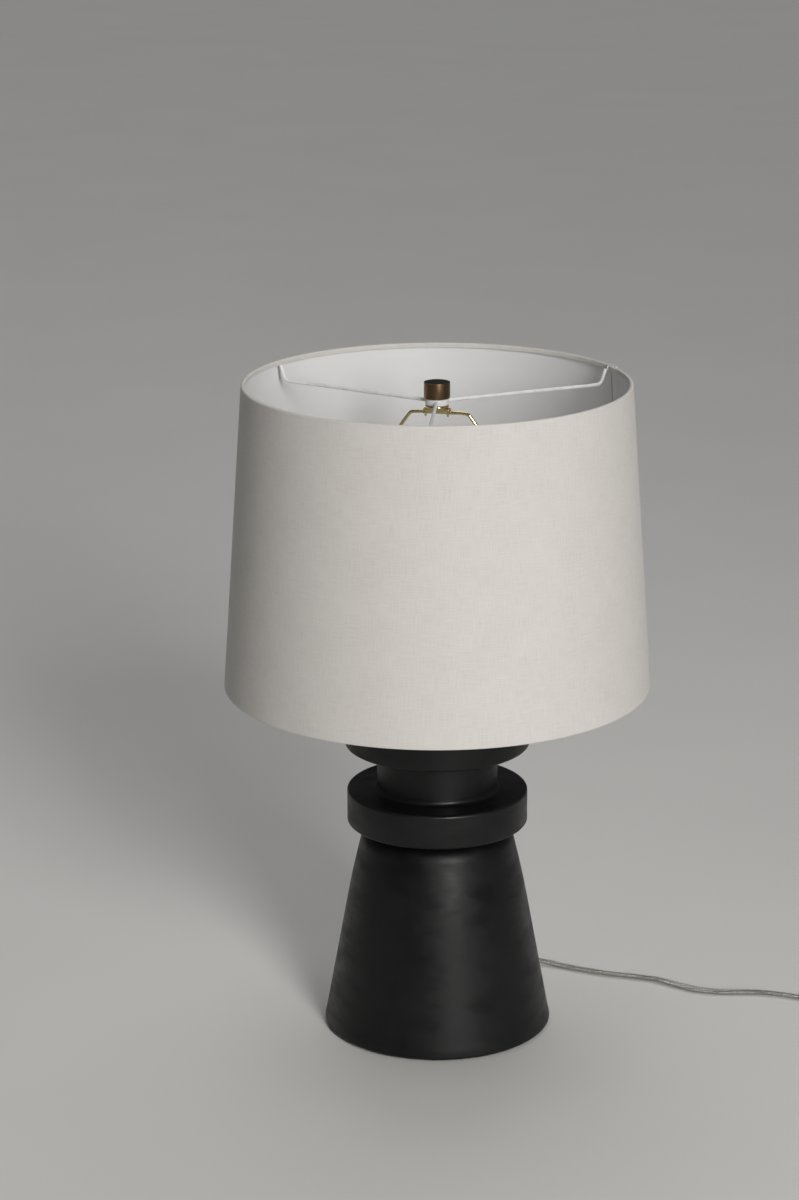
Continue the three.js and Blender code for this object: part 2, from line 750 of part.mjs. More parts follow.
// The spider: a hub on the harp's stud and three wire arms that rise to the top ring.
const ARM_Z = HUB_BOTTOM + HUB_HEIGHT / 2;
const ARM_PROFILE = [
  [HUB_RADIUS + GAP, ARM_Z],
  [60, ARM_Z],
  [120, ARM_Z],
  [159.5, ARM_Z],
  [165.2, ARM_Z + 0.5],
  [168.2, ARM_Z + 3.2],
  [169.8, ARM_Z + 7.5],
  [171.8, SHADE_TOP - 4.4],
];
add(
  "spider_hub",
  washer(HUB_RADIUS, HUB_HOLE, HUB_BOTTOM, HUB_BOTTOM + HUB_HEIGHT, 24),
  LOOK.whiteWire,
);
for (const [side, degrees] of Object.entries(ARM_DIRECTIONS)) {
  const points = vectors(ARM_PROFILE.map(([x, z]) => [x, 0, z]));
  const arm = add(`spider_arm_${side}`, sweep(points, ARM_WIRE, ARM_WIRE, 14), LOOK.whiteWire);
  arm.rotation.z = radians(degrees);
}

// ---------------------------------------------------------------- finial
function finialCap() {
  const chamfer = 0.6;
  return revolve(
    [
      [FINIAL_POCKET, FINIAL_BOTTOM],
      [FINIAL_RADIUS - chamfer, FINIAL_BOTTOM],
      [FINIAL_RADIUS, FINIAL_BOTTOM + chamfer],
      [FINIAL_RADIUS, SHADE_TOP - chamfer],
      [FINIAL_RADIUS - chamfer, SHADE_TOP],
      [0, SHADE_TOP],
      [0, INSERT_TOP + GAP],
      [FINIAL_POCKET, INSERT_TOP + GAP],
    ],
    24,
  );
}

add("finial_cap", finialCap(), LOOK.bronze);
add(
  "finial_insert",
  washer(INSERT_RADIUS, STUD_RADIUS + GAP, FINIAL_BOTTOM + GAP, INSERT_TOP),
  LOOK.brass,
);

// ---------------------------------------------------------------- cord
const CORD_HOLE = CORD_WIDTH / 2 + 0.25;

// The strain relief: a barrel in the drilled channel, a flange, and a tapered nose.
function cordBushing() {
  const flange = CONE_RADIUS - 0.6;
  return alongExit(
    revolve(
      [
        [CORD_HOLE, flange - 16],
        [CHANNEL_RADIUS - 0.4, flange - 16],
        [CHANNEL_RADIUS - 0.4, flange],
        [7.5, flange],
        [7.5, flange + 2],
        [6, flange + 3],
        [4.7, RELIEF_TIP],
        [CORD_HOLE, RELIEF_TIP],
      ],
      16,
    ),
  );
}

// The cord inside the base: along the drilled channel, under the rod's foot and up its bore.
function innerCord() {
  const outward = (distance, z) => [
    distance * Math.cos(EXIT_DIRECTION),
    distance * Math.sin(EXIT_DIRECTION),
    z,
  ];
  const route = [
    outward(RELIEF_TIP - 0.4, EXIT_HEIGHT),
    outward(90, EXIT_HEIGHT),
    outward(60, EXIT_HEIGHT),
    outward(42, EXIT_HEIGHT - 0.2),
    outward(28, EXIT_HEIGHT - 3.2),
    outward(16, 5.8),
    outward(7, 4.4),
    outward(1.6, 7.4),
    outward(0.2, 13),
    outward(0, 20),
    outward(0, 30),
    outward(0, 180),
    outward(0, ROD_TOP + 1),
  ];
  return sweep(vectors(route), 1.3, 3.1, 40);
}

add("cord_bushing", cordBushing(), LOOK.clearPlastic);
add("inner_cord", innerCord(), LOOK.clearPlastic);
add(
  "cord_run",
  sweep(vectors(CORD_ROUTE), CORD_THICKNESS / 2, CORD_WIDTH / 2, 40),
  LOOK.clearPlastic,
);
add(
  "cord_tail",
  sweep(vectors(CORD_TAIL), CORD_THICKNESS / 2, CORD_WIDTH / 2, 10),
  LOOK.clearPlastic,
);

function cordCoil() {
  const halfWidth = (COIL_PITCH * (COIL_TURNS_ACROSS - 1) + CORD_WIDTH) / 2;
  const inner = COIL_MEAN_RADIUS - halfWidth;
  const outer = COIL_MEAN_RADIUS + halfWidth;
  return washer(outer, inner, COIL_BOTTOM, COIL_HEIGHT, 32);
}

add("cord_coil", cordCoil(), LOOK.clearPlastic).position.copy(COIL_CENTRE);

// ---------------------------------------------------------------- plug, made pointing along +X and turned to -X
const plug = new THREE.Group();
plug.position.copy(PLUG_REAR);
plug.rotation.z = Math.PI;
lamp.add(plug);

const PLUG_NECK = 12;
const PLUG_LENGTH = 34;
const PLUG_HALF_WIDTH = 12.5;
const PLUG_HALF_HEIGHT = 6;
const BLADE_SPACING = 12.7;

function plugBody() {
  const neck = revolve(
    [
      [0, 0.3],
      [4.3, 0.3],
      [5.8, PLUG_NECK + 2],
      [0, PLUG_NECK + 2],
    ],
    12,
  ).rotateY(Math.PI / 2);
  const outline = new THREE.Shape();
  outline.moveTo(PLUG_NECK, -6);
  outline.lineTo(PLUG_NECK + 8, -PLUG_HALF_WIDTH);
  outline.lineTo(PLUG_LENGTH, -PLUG_HALF_WIDTH);
  outline.lineTo(PLUG_LENGTH, PLUG_HALF_WIDTH);
  outline.lineTo(PLUG_NECK + 8, PLUG_HALF_WIDTH);
  outline.lineTo(PLUG_NECK, 6);
  const grip = new THREE.ExtrudeGeometry(outline, {
    depth: 2 * PLUG_HALF_HEIGHT,
    bevelEnabled: false,
  }).translate(0, 0, -PLUG_HALF_HEIGHT);
  return join(grip, neck);
}

add("plug_body", plugBody(), LOOK.clearPlastic, plug);
for (const [name, side] of [
  ["plug_blade_left", 1],
  ["plug_blade_right", -1],
]) {
  const y = (side * BLADE_SPACING) / 2;
  const start = PLUG_LENGTH + GAP;
  const blade = block([start, y - 0.75, -3.2], [start + 16, y + 0.75, 3.2]);
  add(name, blade, LOOK.brass, plug);
}

export default lamp;
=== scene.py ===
"""The looks of the table lamp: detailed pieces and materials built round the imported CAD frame. Sizes below are in
millimetres, in the lamp's own frame: +Z up, the lamp's axis is the z axis, the front is towards -Y."""

import math

import bmesh
import bpy
import numpy as np
from mathutils import Matrix, Vector


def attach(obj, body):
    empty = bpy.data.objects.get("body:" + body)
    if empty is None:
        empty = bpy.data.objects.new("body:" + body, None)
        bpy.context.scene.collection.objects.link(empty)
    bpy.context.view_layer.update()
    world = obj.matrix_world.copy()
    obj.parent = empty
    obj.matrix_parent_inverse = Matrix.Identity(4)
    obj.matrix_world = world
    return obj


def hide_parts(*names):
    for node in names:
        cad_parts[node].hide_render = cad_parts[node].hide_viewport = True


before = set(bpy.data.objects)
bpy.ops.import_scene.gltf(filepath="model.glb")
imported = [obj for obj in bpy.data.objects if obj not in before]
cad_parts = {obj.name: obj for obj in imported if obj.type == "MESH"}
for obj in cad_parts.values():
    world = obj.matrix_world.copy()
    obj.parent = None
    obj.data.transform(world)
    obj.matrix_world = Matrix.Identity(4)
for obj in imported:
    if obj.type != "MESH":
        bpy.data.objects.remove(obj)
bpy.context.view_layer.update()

MM = 0.001
TURN = 2 * math.pi
UP = (0, 0, 1)
UV_RADIUS = 188
CREASE = math.radians(38)

# ------------------------------------------------------------------ camera

CAMERA_PLACE = (-0.03478, -2.81205, 1.2375)
CAMERA_FORWARD, CAMERA_RIGHT = (0.0, 0.9599, -0.2803), (1.0, -0.0011, -0.0039)
SENSOR_WIDTH, LENS, FAR_CLIP = 36, 95.09, 200


def make_camera():
    """The camera, placed in metres."""
    forward = Vector(CAMERA_FORWARD).normalized()
    right = Vector(CAMERA_RIGHT)
    right = (right - forward * right.dot(forward)).normalized()
    up = right.cross(forward)
    data = bpy.data.cameras.new("camera")
    data.sensor_width = SENSOR_WIDTH
    data.lens = LENS
    data.clip_end = FAR_CLIP
    camera = bpy.data.objects.new("camera", data)
    bpy.context.scene.collection.objects.link(camera)
    rotation = Matrix((right, up, -forward)).transposed()
    camera.matrix_world = Matrix.Translation(CAMERA_PLACE) @ rotation.to_4x4()
    bpy.context.scene.camera = camera


make_camera()

# ------------------------------------------------------------------ mesh helpers


def rounded(corners, steps=4):
    """A closed outline of (x, y, rounding) corners as points, each corner with a rounding turned into a small arc."""
    points = []
    for i, (x, y, rounding) in enumerate(corners):
        here = Vector((x, y))
        if rounding <= 0:
            points.append((x, y))
            continue
        back = Vector(corners[i - 1][:2]) - here
        ahead = Vector(corners[(i + 1) % len(corners)][:2]) - here
        half = back.angle(ahead) / 2
        reach = min(rounding / math.tan(half), 0.49 * back.length, 0.49 * ahead.length)
        start = here + back.normalized() * reach
        end = here + ahead.normalized() * reach
        for k in range(steps + 1):
            t = k / steps
            p = start * (1 - t) ** 2 + here * (2 * t * (1 - t)) + end * t**2
            points.append((p.x, p.y))
    return points


def arc(cx, cy, radius, start, end, steps):
    """Points of an arc, from one angle to another in degrees."""
    angles = [math.radians(start + (end - start) * i / steps) for i in range(steps + 1)]
    return [(cx + radius * math.cos(a), cy + radius * math.sin(a)) for a in angles]


def ring(bore, radius, low, high, lower_edge, upper_edge):
    """The closed outline of a ring from low to high, with its outer edges rounded."""
    return rounded([(bore, low, 0), (radius, low, lower_edge), (radius, high, upper_edge), (bore, high, 0)])


def lathe(outline, segments, shape=None):
    """A closed outline of (radius, z) turned about the z axis: (vertices, faces, uvs). shape(r, z, angle) may change
    the radius. The uvs are lengths: round the axis at UV_RADIUS, and along the outline."""
    count = len(outline)
    vertices = []
    for r, z in outline:
        for s in range(segments):
            a = s * TURN / segments
            radius = shape(r, z, a) if shape and r > 0 else r
            vertices.append((radius * math.cos(a), radius * math.sin(a), z))
    along = [0.0]
    for i in range(count):
        along.append(along[-1] + math.dist(outline[i], outline[(i + 1) % count]))
    faces, uvs = [], []
    for i in range(count):
        j = (i + 1) % count
        if outline[i][0] <= 0 and outline[j][0] <= 0:
            continue
        for s in range(segments):
            n = (s + 1) % segments
            faces.append((i * segments + s, i * segments + n, j * segments + n, j * segments + s))
            u, w = UV_RADIUS * TURN * s / segments, UV_RADIUS * TURN * (s + 1) / segments
            uvs.append(((u, along[i]), (w, along[i]), (w, along[i + 1]), (u, along[i + 1])))
    return vertices, faces, uvs


def smooth_curve(points, spacing):
    """A centripetal Catmull-Rom curve through the points, as points about spacing apart."""
    p = [np.array(q, float) for q in points]
    p = [2 * p[0] - p[1], *p, 2 * p[-1] - p[-2]]
    out = []
    for a, b, c, d in zip(p, p[1:], p[2:], p[3:]):
        t0 = 0.0
        t1 = t0 + math.sqrt(np.linalg.norm(b - a))
        t2 = t1 + math.sqrt(np.linalg.norm(c - b))
        t3 = t2 + math.sqrt(np.linalg.norm(d - c))
        steps = max(1, round(np.linalg.norm(c - b) / spacing))
        for t in np.linspace(t1, t2, steps, endpoint=False):
            a1 = a + (b - a) * (t - t0) / (t1 - t0)
            a2 = b + (c - b) * (t - t1) / (t2 - t1)
            a3 = c + (d - c) * (t - t2) / (t3 - t2)
            b1 = a1 + (a2 - a1) * (t - t0) / (t2 - t0)
            b2 = a2 + (a3 - a2) * (t - t1) / (t3 - t1)
            out.append(b1 + (b2 - b1) * (t - t1) / (t2 - t1))
    return [*out, p[-2]]


def frames(path, normal):
    """The points of a path that lies about square to normal, and the directions across and up at each of them."""
    path = np.array(path, float)
    tangents = np.gradient(path, axis=0)
    tangents /= np.linalg.norm(tangents, axis=1)[:, None]
    across = np.cross(np.array(normal, float), tangents)
    across /= np.linalg.norm(across, axis=1)[:, None]
    return path, across, np.cross(tangents, across)


def distances_along(path):
    return np.concatenate([[0], np.cumsum(np.linalg.norm(np.diff(path, axis=0), axis=1))])


def sweep(path, section, normal=UP, twist=None):
    """A closed tube along the path. section is a closed outline of (across, up) offsets; twist(distance) turns it."""
    path, across, up = frames(path, normal)
    distances = distances_along(path)
    vertices, faces, uvs = [], [], []
    sides = len(section)
    rim = [0.0]
    for i in range(sides):
        rim.append(rim[-1] + math.dist(section[i], section[(i + 1) % sides]))
    for centre, a, u, distance in zip(path, across, up, distances):
        turn = twist(distance) if twist else 0.0
        c, s = math.cos(turn), math.sin(turn)
        for x, y in section:
            vertices.append(tuple(centre + a * (x * c - y * s) + u * (x * s + y * c)))
    for i in range(len(path) - 1):
        for k in range(sides):
            n = (k + 1) % sides
            faces.append((i * sides + k, i * sides + n, (i + 1) * sides + n, (i + 1) * sides + k))
            near, far = distances[i], distances[i + 1]
            uvs.append(((rim[k], near), (rim[k + 1], near), (rim[k + 1], far), (rim[k], far)))
    last = (len(path) - 1) * sides
    for start, order in ((0, range(sides - 1, -1, -1)), (last, range(sides))):
        faces.append(tuple(start + k for k in order))
        uvs.append(tuple(section[k] for k in order))
    return vertices, faces, uvs


def rounded_off(bm, edges, bevel):
    """A part from a bmesh, with the edges rounded."""
    bmesh.ops.bevel(bm, geom=edges, offset=bevel, segments=3, profile=0.5, affect="EDGES")
    bm.verts.index_update()
    vertices = [tuple(v.co) for v in bm.verts]
    faces = [tuple(v.index for v in f.verts) for f in bm.faces]
    bm.free()
    return vertices, faces, None


def slab(low, high, bevel):
    """A block with rounded edges, from its lowest to its highest corner."""
    bm = bmesh.new()
    bmesh.ops.create_cube(bm, size=1)
    size = Vector(high) - Vector(low)
    middle = (Vector(high) + Vector(low)) / 2
    for v in bm.verts:
        v.co = Vector(a * b for a, b in zip(v.co, size)) + middle
    return rounded_off(bm, bm.edges[:], bevel)


def prism(outline, low, high, bevel):
    """A flat outline of (x, y) given a thickness from low to high in z, with rounded edges."""
    bm = bmesh.new()
    bottom = [bm.verts.new((x, y, low)) for x, y in outline]
    top = [bm.verts.new((x, y, high)) for x, y in outline]
    count = len(outline)
    bm.faces.new(bottom[::-1])
    bm.faces.new(top)
    for i in range(count):
        bm.faces.new((bottom[i], bottom[(i + 1) % count], top[(i + 1) % count], top[i]))
    rims = [e for e in bm.edges if abs(e.verts[0].co.z - e.verts[1].co.z) < 1e-6]
    return rounded_off(bm, rims, bevel)


def turned(part, matrix):
    """A part moved by a matrix given in millimetres."""
    vertices, faces, uvs = part
    return [tuple(matrix @ Vector(v)) for v in vertices], faces, uvs


def together(*parts):
    """Several parts as one."""
    vertices, faces, uvs = [], [], []
    for part_vertices, part_faces, part_uvs in parts:
        start = len(vertices)
        vertices += part_vertices
        faces += [tuple(start + i for i in face) for face in part_faces]
        uvs += part_uvs or [tuple((0, 0) for _ in face) for face in part_faces]
    return vertices, faces, uvs


def piece(name, part, look, body, stands_for=()):
    """A mesh object from a part in millimetres, which rides on a body and stands for CAD nodes."""
    vertices, faces, uvs = part
    mesh = bpy.data.meshes.new(name)
    mesh.from_pydata([tuple(c * MM for c in v) for v in vertices], [], faces)
    if uvs:
        layer = mesh.uv_layers.new(name="lengths")
        flat = np.array([c * MM for face in uvs for uv in face for c in uv], np.float32)
        layer.data.foreach_set("uv", flat)
    bm = bmesh.new()
    bm.from_mesh(mesh)
    bmesh.ops.remove_doubles(bm, verts=bm.verts, dist=1e-6)
    bmesh.ops.recalc_face_normals(bm, faces=bm.faces)
    bm.to_mesh(mesh)
    bm.free()
    mesh.shade_smooth()
    mesh.set_sharp_from_angle(angle=CREASE)
    mesh.materials.append(look)
    made = bpy.data.objects.new(name, mesh)
    bpy.context.scene.collection.objects.link(made)
    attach(made, body)
    if stands_for:
        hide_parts(*stands_for)
    return made


def detail(node, part, look, body, slot):
    """A piece that stands for one CAD node and is named after it."""
    return piece(f"{node}_detail", part, look, body, [node])


# ------------------------------------------------------------------ material helpers


class Look:
    """A Principled material with a few shorthands for its textures."""

    def __init__(self, name, colour, roughness, metallic=0.0, **sockets):
        self.material = bpy.data.materials.new(name)
        self.material.use_nodes = True
        self.material.diffuse_color = (*colour, 1)
        self.tree = self.material.node_tree
        self.shader = self.tree.nodes["Principled BSDF"]
        self.shader.inputs["Base Color"].default_value = (*colour, 1)
        self.shader.inputs["Roughness"].default_value = roughness
        self.shader.inputs["Metallic"].default_value = metallic
        for socket, value in sockets.items():
            self.shader.inputs[socket.replace("_", " ")].default_value = value
        self.coordinates = self.tree.nodes.new("ShaderNodeTexCoord")
        self.bumps = None

    def link(self, a, b):
        self.tree.links.new(a, b)

    def stretched(self, scale, space):
        node = self.tree.nodes.new("ShaderNodeMapping")
        node.inputs["Scale"].default_value = scale
        self.link(self.coordinates.outputs[space], node.inputs["Vector"])
        return node.outputs["Vector"]

    def noise(self, scale, detail, roughness=0.55, space="Object"):
        """A noise whose features are about 1/scale metres; scale is one number or one per axis."""
        stretch = (scale,) * 3 if isinstance(scale, (int, float)) else scale
        node = self.tree.nodes.new("ShaderNodeTexNoise")
        node.inputs["Scale"].default_value = 1.0
        node.inputs["Detail"].default_value = detail
        node.inputs["Roughness"].default_value = roughness
        self.link(self.stretched(stretch, space), node.inputs["Vector"])
        return node.outputs["Fac"]

    def threads(self, direction, pitch, distortion):
        """Parallel ridges, pitch metres apart. At a scale of 1 the texture has 20 / TURN of them in a metre."""
        node = self.tree.nodes.new("ShaderNodeTexWave")
        node.wave_type = "BANDS"
        node.bands_direction = direction
        node.inputs["Scale"].default_value = TURN / (20 * pitch)
        node.inputs["Distortion"].default_value = distortion
        node.inputs["Detail"].default_value = 1.0
        node.inputs["Detail Scale"].default_value = 0.4
        self.link(self.coordinates.outputs["UV"], node.inputs["Vector"])
        return node.outputs["Fac"]

    def combine(self, operation, a, b):
        node = self.tree.nodes.new("ShaderNodeMath")
        node.operation = operation
        for value, socket in zip((a, b), node.inputs):
            if isinstance(value, (int, float)):
                socket.default_value = value
            else:
                self.link(value, socket)
        return node.outputs[0]

    def blend(self, a, b, share):
        """Share of b mixed with the rest of a."""
        return self.combine("ADD", self.combine("MULTIPLY", a, 1 - share), self.combine("MULTIPLY", b, share))

    def colours(self, factor, *stops):
        """Base colour from a factor through (position, colour) stops."""
        ramp = self.tree.nodes.new("ShaderNodeValToRGB")
        elements = ramp.color_ramp.elements
        while len(elements) < len(stops):
            elements.new(0.5)
        for element, (position, colour) in zip(elements, stops):
            element.position = position
            element.color = (*colour, 1)
        self.link(factor, ramp.inputs["Fac"])
        self.link(ramp.outputs["Color"], self.shader.inputs["Base Color"])

    def roughness(self, factor, low, high, span=(0.3, 0.7)):
        node = self.tree.nodes.new("ShaderNodeMapRange")
        node.inputs["From Min"].default_value, node.inputs["From Max"].default_value = span
        node.inputs["To Min"].default_value, node.inputs["To Max"].default_value = low, high
        self.link(factor, node.inputs["Value"])
        self.link(node.outputs["Result"], self.shader.inputs["Roughness"])

    def bump(self, height, depth, strength):
        """Adds a bump that is depth metres deep to those already there."""
        node = self.tree.nodes.new("ShaderNodeBump")
        node.inputs["Distance"].default_value = depth
        node.inputs["Strength"].default_value = strength
        self.link(height, node.inputs["Height"])
        if self.bumps:
            self.link(self.bumps, node.inputs["Normal"])
        self.bumps = node.outputs["Normal"]
        self.link(self.bumps, self.shader.inputs["Normal"])


def black_wood():
    look = Look("black_wood", (0.0045, 0.0045, 0.0048), 0.4, Specular_IOR_Level=0.31)
    cloud = look.noise(26, 5, 0.6)
    scuffs = look.noise((22, 22, 70), 5, 0.65)
    look.colours(cloud, (0.32, (0.0028, 0.0028, 0.003)), (0.68, (0.0068, 0.0068, 0.0072)))
    look.roughness(look.blend(cloud, scuffs, 0.65), 0.32, 0.54, (0.38, 0.62))
    look.bump(look.noise(17, 3), 0.0011, 0.45)
    look.bump(look.noise((5, 5, 420), 3), 0.00006, 0.35)
    look.bump(look.noise(900, 3), 0.00004, 0.4)
    return look.material


def felt():
    look = Look("felt", (0.012, 0.012, 0.012), 1.0, Sheen_Weight=0.4)
    fibres = look.noise((900, 300, 900), 5)
    look.colours(fibres, (0.3, (0.006, 0.006, 0.006)), (0.7, (0.026, 0.026, 0.026)))
    look.bump(fibres, 0.0005, 0.8)
    return look.material


def linen():
    look = Look("linen", (0.70, 0.672, 0.64), 0.95, Specular_IOR_Level=0.2, Sheen_Weight=0.1,
                Sheen_Roughness=0.6)
    upright = look.noise((1500, 60, 1), 3, 0.6, "UV")
    level = look.noise((60, 1450, 1), 3, 0.6, "UV")
    slubs = look.blend(upright, level, 0.5)
    mixed = look.blend(slubs, look.noise((26, 26, 1), 3, 0.5, "UV"), 0.15)
    look.colours(mixed, (0.36, (0.625, 0.597, 0.56)), (0.5, (0.695, 0.667, 0.634)),
                 (0.66, (0.745, 0.72, 0.69)))
    weave = look.combine("MULTIPLY", look.threads("X", 0.00062, 0.8), look.threads("Y", 0.00066, 0.8))
    look.bump(weave, 0.0001, 0.5)
    look.bump(slubs, 0.0003, 0.32)
    return look.material


def lining():
    look = Look("lining", (0.80, 0.80, 0.80), 0.6)
    look.colours(look.noise(9, 3), (0.35, (0.78, 0.78, 0.78)), (0.65, (0.82, 0.82, 0.82)))
    look.bump(look.noise(700, 2), 0.00004, 0.5)
    look.bump(look.noise(6, 2), 0.0004, 0.3)
    return look.material


def seam_edge_and_shadow():
    # A grey darker than the lining, for the lap's edge: partly its own colour, partly painted shadow along the lap's
    # step.
    look = Look("seam_edge_and_shadow", (0.48, 0.46, 0.43), 0.7)
    look.colours(look.noise((40, 40, 400), 3), (0.3, (0.38, 0.36, 0.335)), (0.7, (0.58, 0.56, 0.53)))
    look.bump(look.noise(900, 2), 0.00005, 0.5)
    return look.material


def white_paint():
    look = Look("white_paint", (0.82, 0.825, 0.825), 0.32)
    look.colours(look.noise(120, 3), (0.3, (0.74, 0.745, 0.745)), (0.6, (0.86, 0.865, 0.865)))
    look.roughness(look.noise(260, 2), 0.26, 0.42)
    look.bump(look.noise(420, 3), 0.00008, 0.4)
    return look.material


def brass(name="brass", colour=(0.80, 0.60, 0.27), low=0.14, high=0.26):
    look = Look(name, colour, 0.2, 1.0)
    darker = tuple(c * 0.82 for c in colour)
    look.colours(look.noise(60, 4), (0.35, darker), (0.62, colour))
    look.roughness(look.noise(160, 4), low, high)
    look.bump(look.noise((900, 900, 120), 2), 0.00002, 0.4)
    return look.material


def bronze():
    look = Look("bronze", (0.20, 0.128, 0.07), 0.36, 1.0)
    scratches = look.noise((300, 300, 9000), 3, 0.7)
    look.colours(scratches, (0.3, (0.15, 0.095, 0.05)), (0.7, (0.27, 0.18, 0.10)))
    look.roughness(scratches, 0.25, 0.4)
    look.bump(scratches, 0.00003, 0.6)
    return look.material


def painted_shade_top():
    # A near-black copy of the bronze for the finial's top face: painted shade, for the dark surroundings that the
    # flat top reflects.
    look = Look("bronze_painted_shade", (0.02, 0.016, 0.012), 0.5, 1.0)
    grain = look.noise((2600, 2600, 300), 4)
    look.colours(grain, (0.3, (0.012, 0.010, 0.008)), (0.7, (0.034, 0.027, 0.020)))
    look.roughness(grain, 0.42, 0.58)
    look.bump(grain, 0.00002, 0.5)
    return look.material


def steel():
    look = Look("zinc", (0.55, 0.55, 0.53), 0.35, 1.0)
    look.colours(look.noise(300, 4), (0.3, (0.44, 0.44, 0.42)), (0.7, (0.62, 0.62, 0.60)))
    look.roughness(look.noise(500, 3), 0.26, 0.45)
    look.bump(look.noise(1600, 2), 0.00003, 0.4)
    return look.material


def nickel():
    look = Look("nickel", (0.66, 0.65, 0.62), 0.2, 1.0)
    look.colours(look.noise(200, 3), (0.3, (0.58, 0.57, 0.54)), (0.7, (0.70, 0.69, 0.66)))
    look.roughness(look.noise(400, 3), 0.16, 0.3)
    return look.material


def moulded():
    look = Look("moulded", (0.018, 0.014, 0.011), 0.38)
    look.colours(look.noise(90, 4), (0.3, (0.012, 0.009, 0.007)), (0.7, (0.026, 0.02, 0.016)))
    look.roughness(look.noise(800, 2), 0.3, 0.45)
    look.bump(look.noise(1300, 2), 0.00003, 0.4)
    return look.material


def card():
    look = Look("card", (0.26, 0.17, 0.09), 0.85)
    look.colours(look.noise((900, 900, 80), 4), (0.3, (0.20, 0.13, 0.07)), (0.7, (0.32, 0.22, 0.12)))
    look.bump(look.noise(2000, 2), 0.00005, 0.5)
    return look.material


def frosted():
    look = Look("frosted", (0.90, 0.89, 0.86), 0.42, Subsurface_Weight=0.35,
                Subsurface_Radius=(0.01, 0.01, 0.009), Coat_Weight=0.15)
    look.colours(look.noise(50, 3), (0.35, (0.86, 0.85, 0.82)), (0.65, (0.92, 0.91, 0.88)))
    look.roughness(look.noise(900, 2), 0.36, 0.48)
    look.bump(look.noise(2200, 2), 0.00002, 0.4)
    return look.material


def clear(name, tint, rough):
    look = Look(name, tint, rough, Transmission_Weight=0.92, IOR=1.45)
    look.roughness(look.noise(300, 2), rough * 0.7, rough * 1.5)
    look.bump(look.noise((260, 260, 260), 3), 0.0001, 0.4)
    return look.material


def strands():
    look = Look("strands", (0.80, 0.80, 0.78), 0.2, 1.0)
    look.colours(look.noise((900, 900, 1), 2, 0.5, "UV"), (0.3, (0.62, 0.62, 0.60)),
                 (0.6, (0.86, 0.86, 0.84)))
    look.bump(look.threads("DIAGONAL", 0.00045, 0.0), 0.00016, 1.0)
    return look.material


BLACK_WOOD = black_wood()
FELT = felt()
LINEN = linen()
LINING = lining()
SEAM_EDGE_AND_SHADOW = seam_edge_and_shadow()
WHITE_PAINT = white_paint()
BRASS = brass()
HARP_BRASS = brass("harp_brass", (0.83, 0.68, 0.36), 0.1, 0.2)
BRONZE = bronze()
PAINTED_SHADE_TOP = painted_shade_top()
STEEL = steel()
NICKEL = nickel()
MOULDED = moulded()
CARD = card()
FROSTED = frosted()
SHEATH = clear("sheath", (0.86, 0.86, 0.83), 0.14)
CLEAR_PLASTIC = clear("clear_plastic", (0.88, 0.88, 0.85), 0.1)
STRANDS = strands()

# ------------------------------------------------------------------ cord

CORD_WIDTH, CORD_THICKNESS = 7.1, 3.6
CORE_OFFSET, CORE_RADIUS = 1.72, 1.08
CONE_RADIUS = 107.3
EXIT = math.radians(58)
EXIT_HEIGHT = 14
RELIEF_TIP = 127.2
CORD_ROUTE = [
    (67.4, 107.9, 14.0), (72.8, 114.4, 13.4), (79.6, 119.9, 11.8), (88.0, 123.6, 9.3),
    (98.3, 124.8, 6.3), (107.0, 123.5, 4.4), (114.0, 121.2, 3.8), (124.5, 116.0, 2.9),
    (147.0, 104.8, 2.8), (172.0, 94.6, 2.8), (197.0, 87.2, 2.9), (219.5, 77.5, 3.3),
    (234.0, 66.5, 3.4), (248.5, 56.8, 3.2), (262.0, 51.6, 2.9), (277.0, 49.2, 2.6),
    (297.0, 48.8, 2.5), (316.0, 47.6, 2.5), (334.0, 42.8, 2.5), (352.0, 36.2, 2.5),
    (372.0, 29.6, 2.5), (394.0, 24.2, 2.5),
]
COIL_CENTRE = (411.5, -27.8)
COIL_RADII = (31.6, 39.0, 46.4)
COIL_LAYERS = (1.95, 5.65)
COIL_TURNS, COIL_STEPS = 5.359, 24
COIL_END_RADIUS, COIL_END_HEIGHT = 54.0, 3.6
CORD_TAIL = [
    (454.7, -63.5, 3.6), (448.2, -77.6, 2.8), (438.5, -88.6, 2.5), (426.0, -95.9, 2.7),
    (414.0, -98.6, 4.2), (402.6, -99.0, 6.2),
]
PLUG_PLACE, BLADE_OFFSET = (402.3, -99.0, 6.2), 6.35
LOOSE_FROM, LOOSE_TO, LOOSE_EASE = 30, 400, 60
ROLL, ROLL_LENGTH = 0.22, 27


def coil_place(t):
    """Radius and height of the coil after t turns: three turns in on the lower layer, then out on the upper one."""
    inner, middle, outer = COIL_RADII
    low, high = COIL_LAYERS
    radii = [(0, outer), (0.6, outer), (1.0, middle), (1.6, middle), (2.0, inner), (3.4, inner),
             (3.8, middle), (4.4, middle), (4.8, outer), (5.08, outer), (COIL_TURNS, COIL_END_RADIUS)]
    heights = [(0, low), (2.55, low), (2.85, high), (5.16, high), (COIL_TURNS, COIL_END_HEIGHT)]
    eased = []
    for stops in (radii, heights):
        for (t0, v0), (t1, v1) in zip(stops, stops[1:]):
            if t0 <= t <= t1:
                x = (t - t0) / (t1 - t0)
                eased.append(v0 + (v1 - v0) * x * x * (3 - 2 * x))
                break
    return eased


def cord_path():
    """The cord's centre line: from the relief over the table, round the coil and on to the plug."""
    points = list(CORD_ROUTE)
    for i in range(1, int(COIL_TURNS * COIL_STEPS)):
        t = i / COIL_STEPS
        radius, height = coil_place(t)
        angle = math.radians(90) - t * TURN
        points.append((COIL_CENTRE[0] + radius * math.cos(angle),
                       COIL_CENTRE[1] + radius * math.sin(angle), height))
    return smooth_curve(points + CORD_TAIL, 2.0)


CORD_PATH = cord_path()


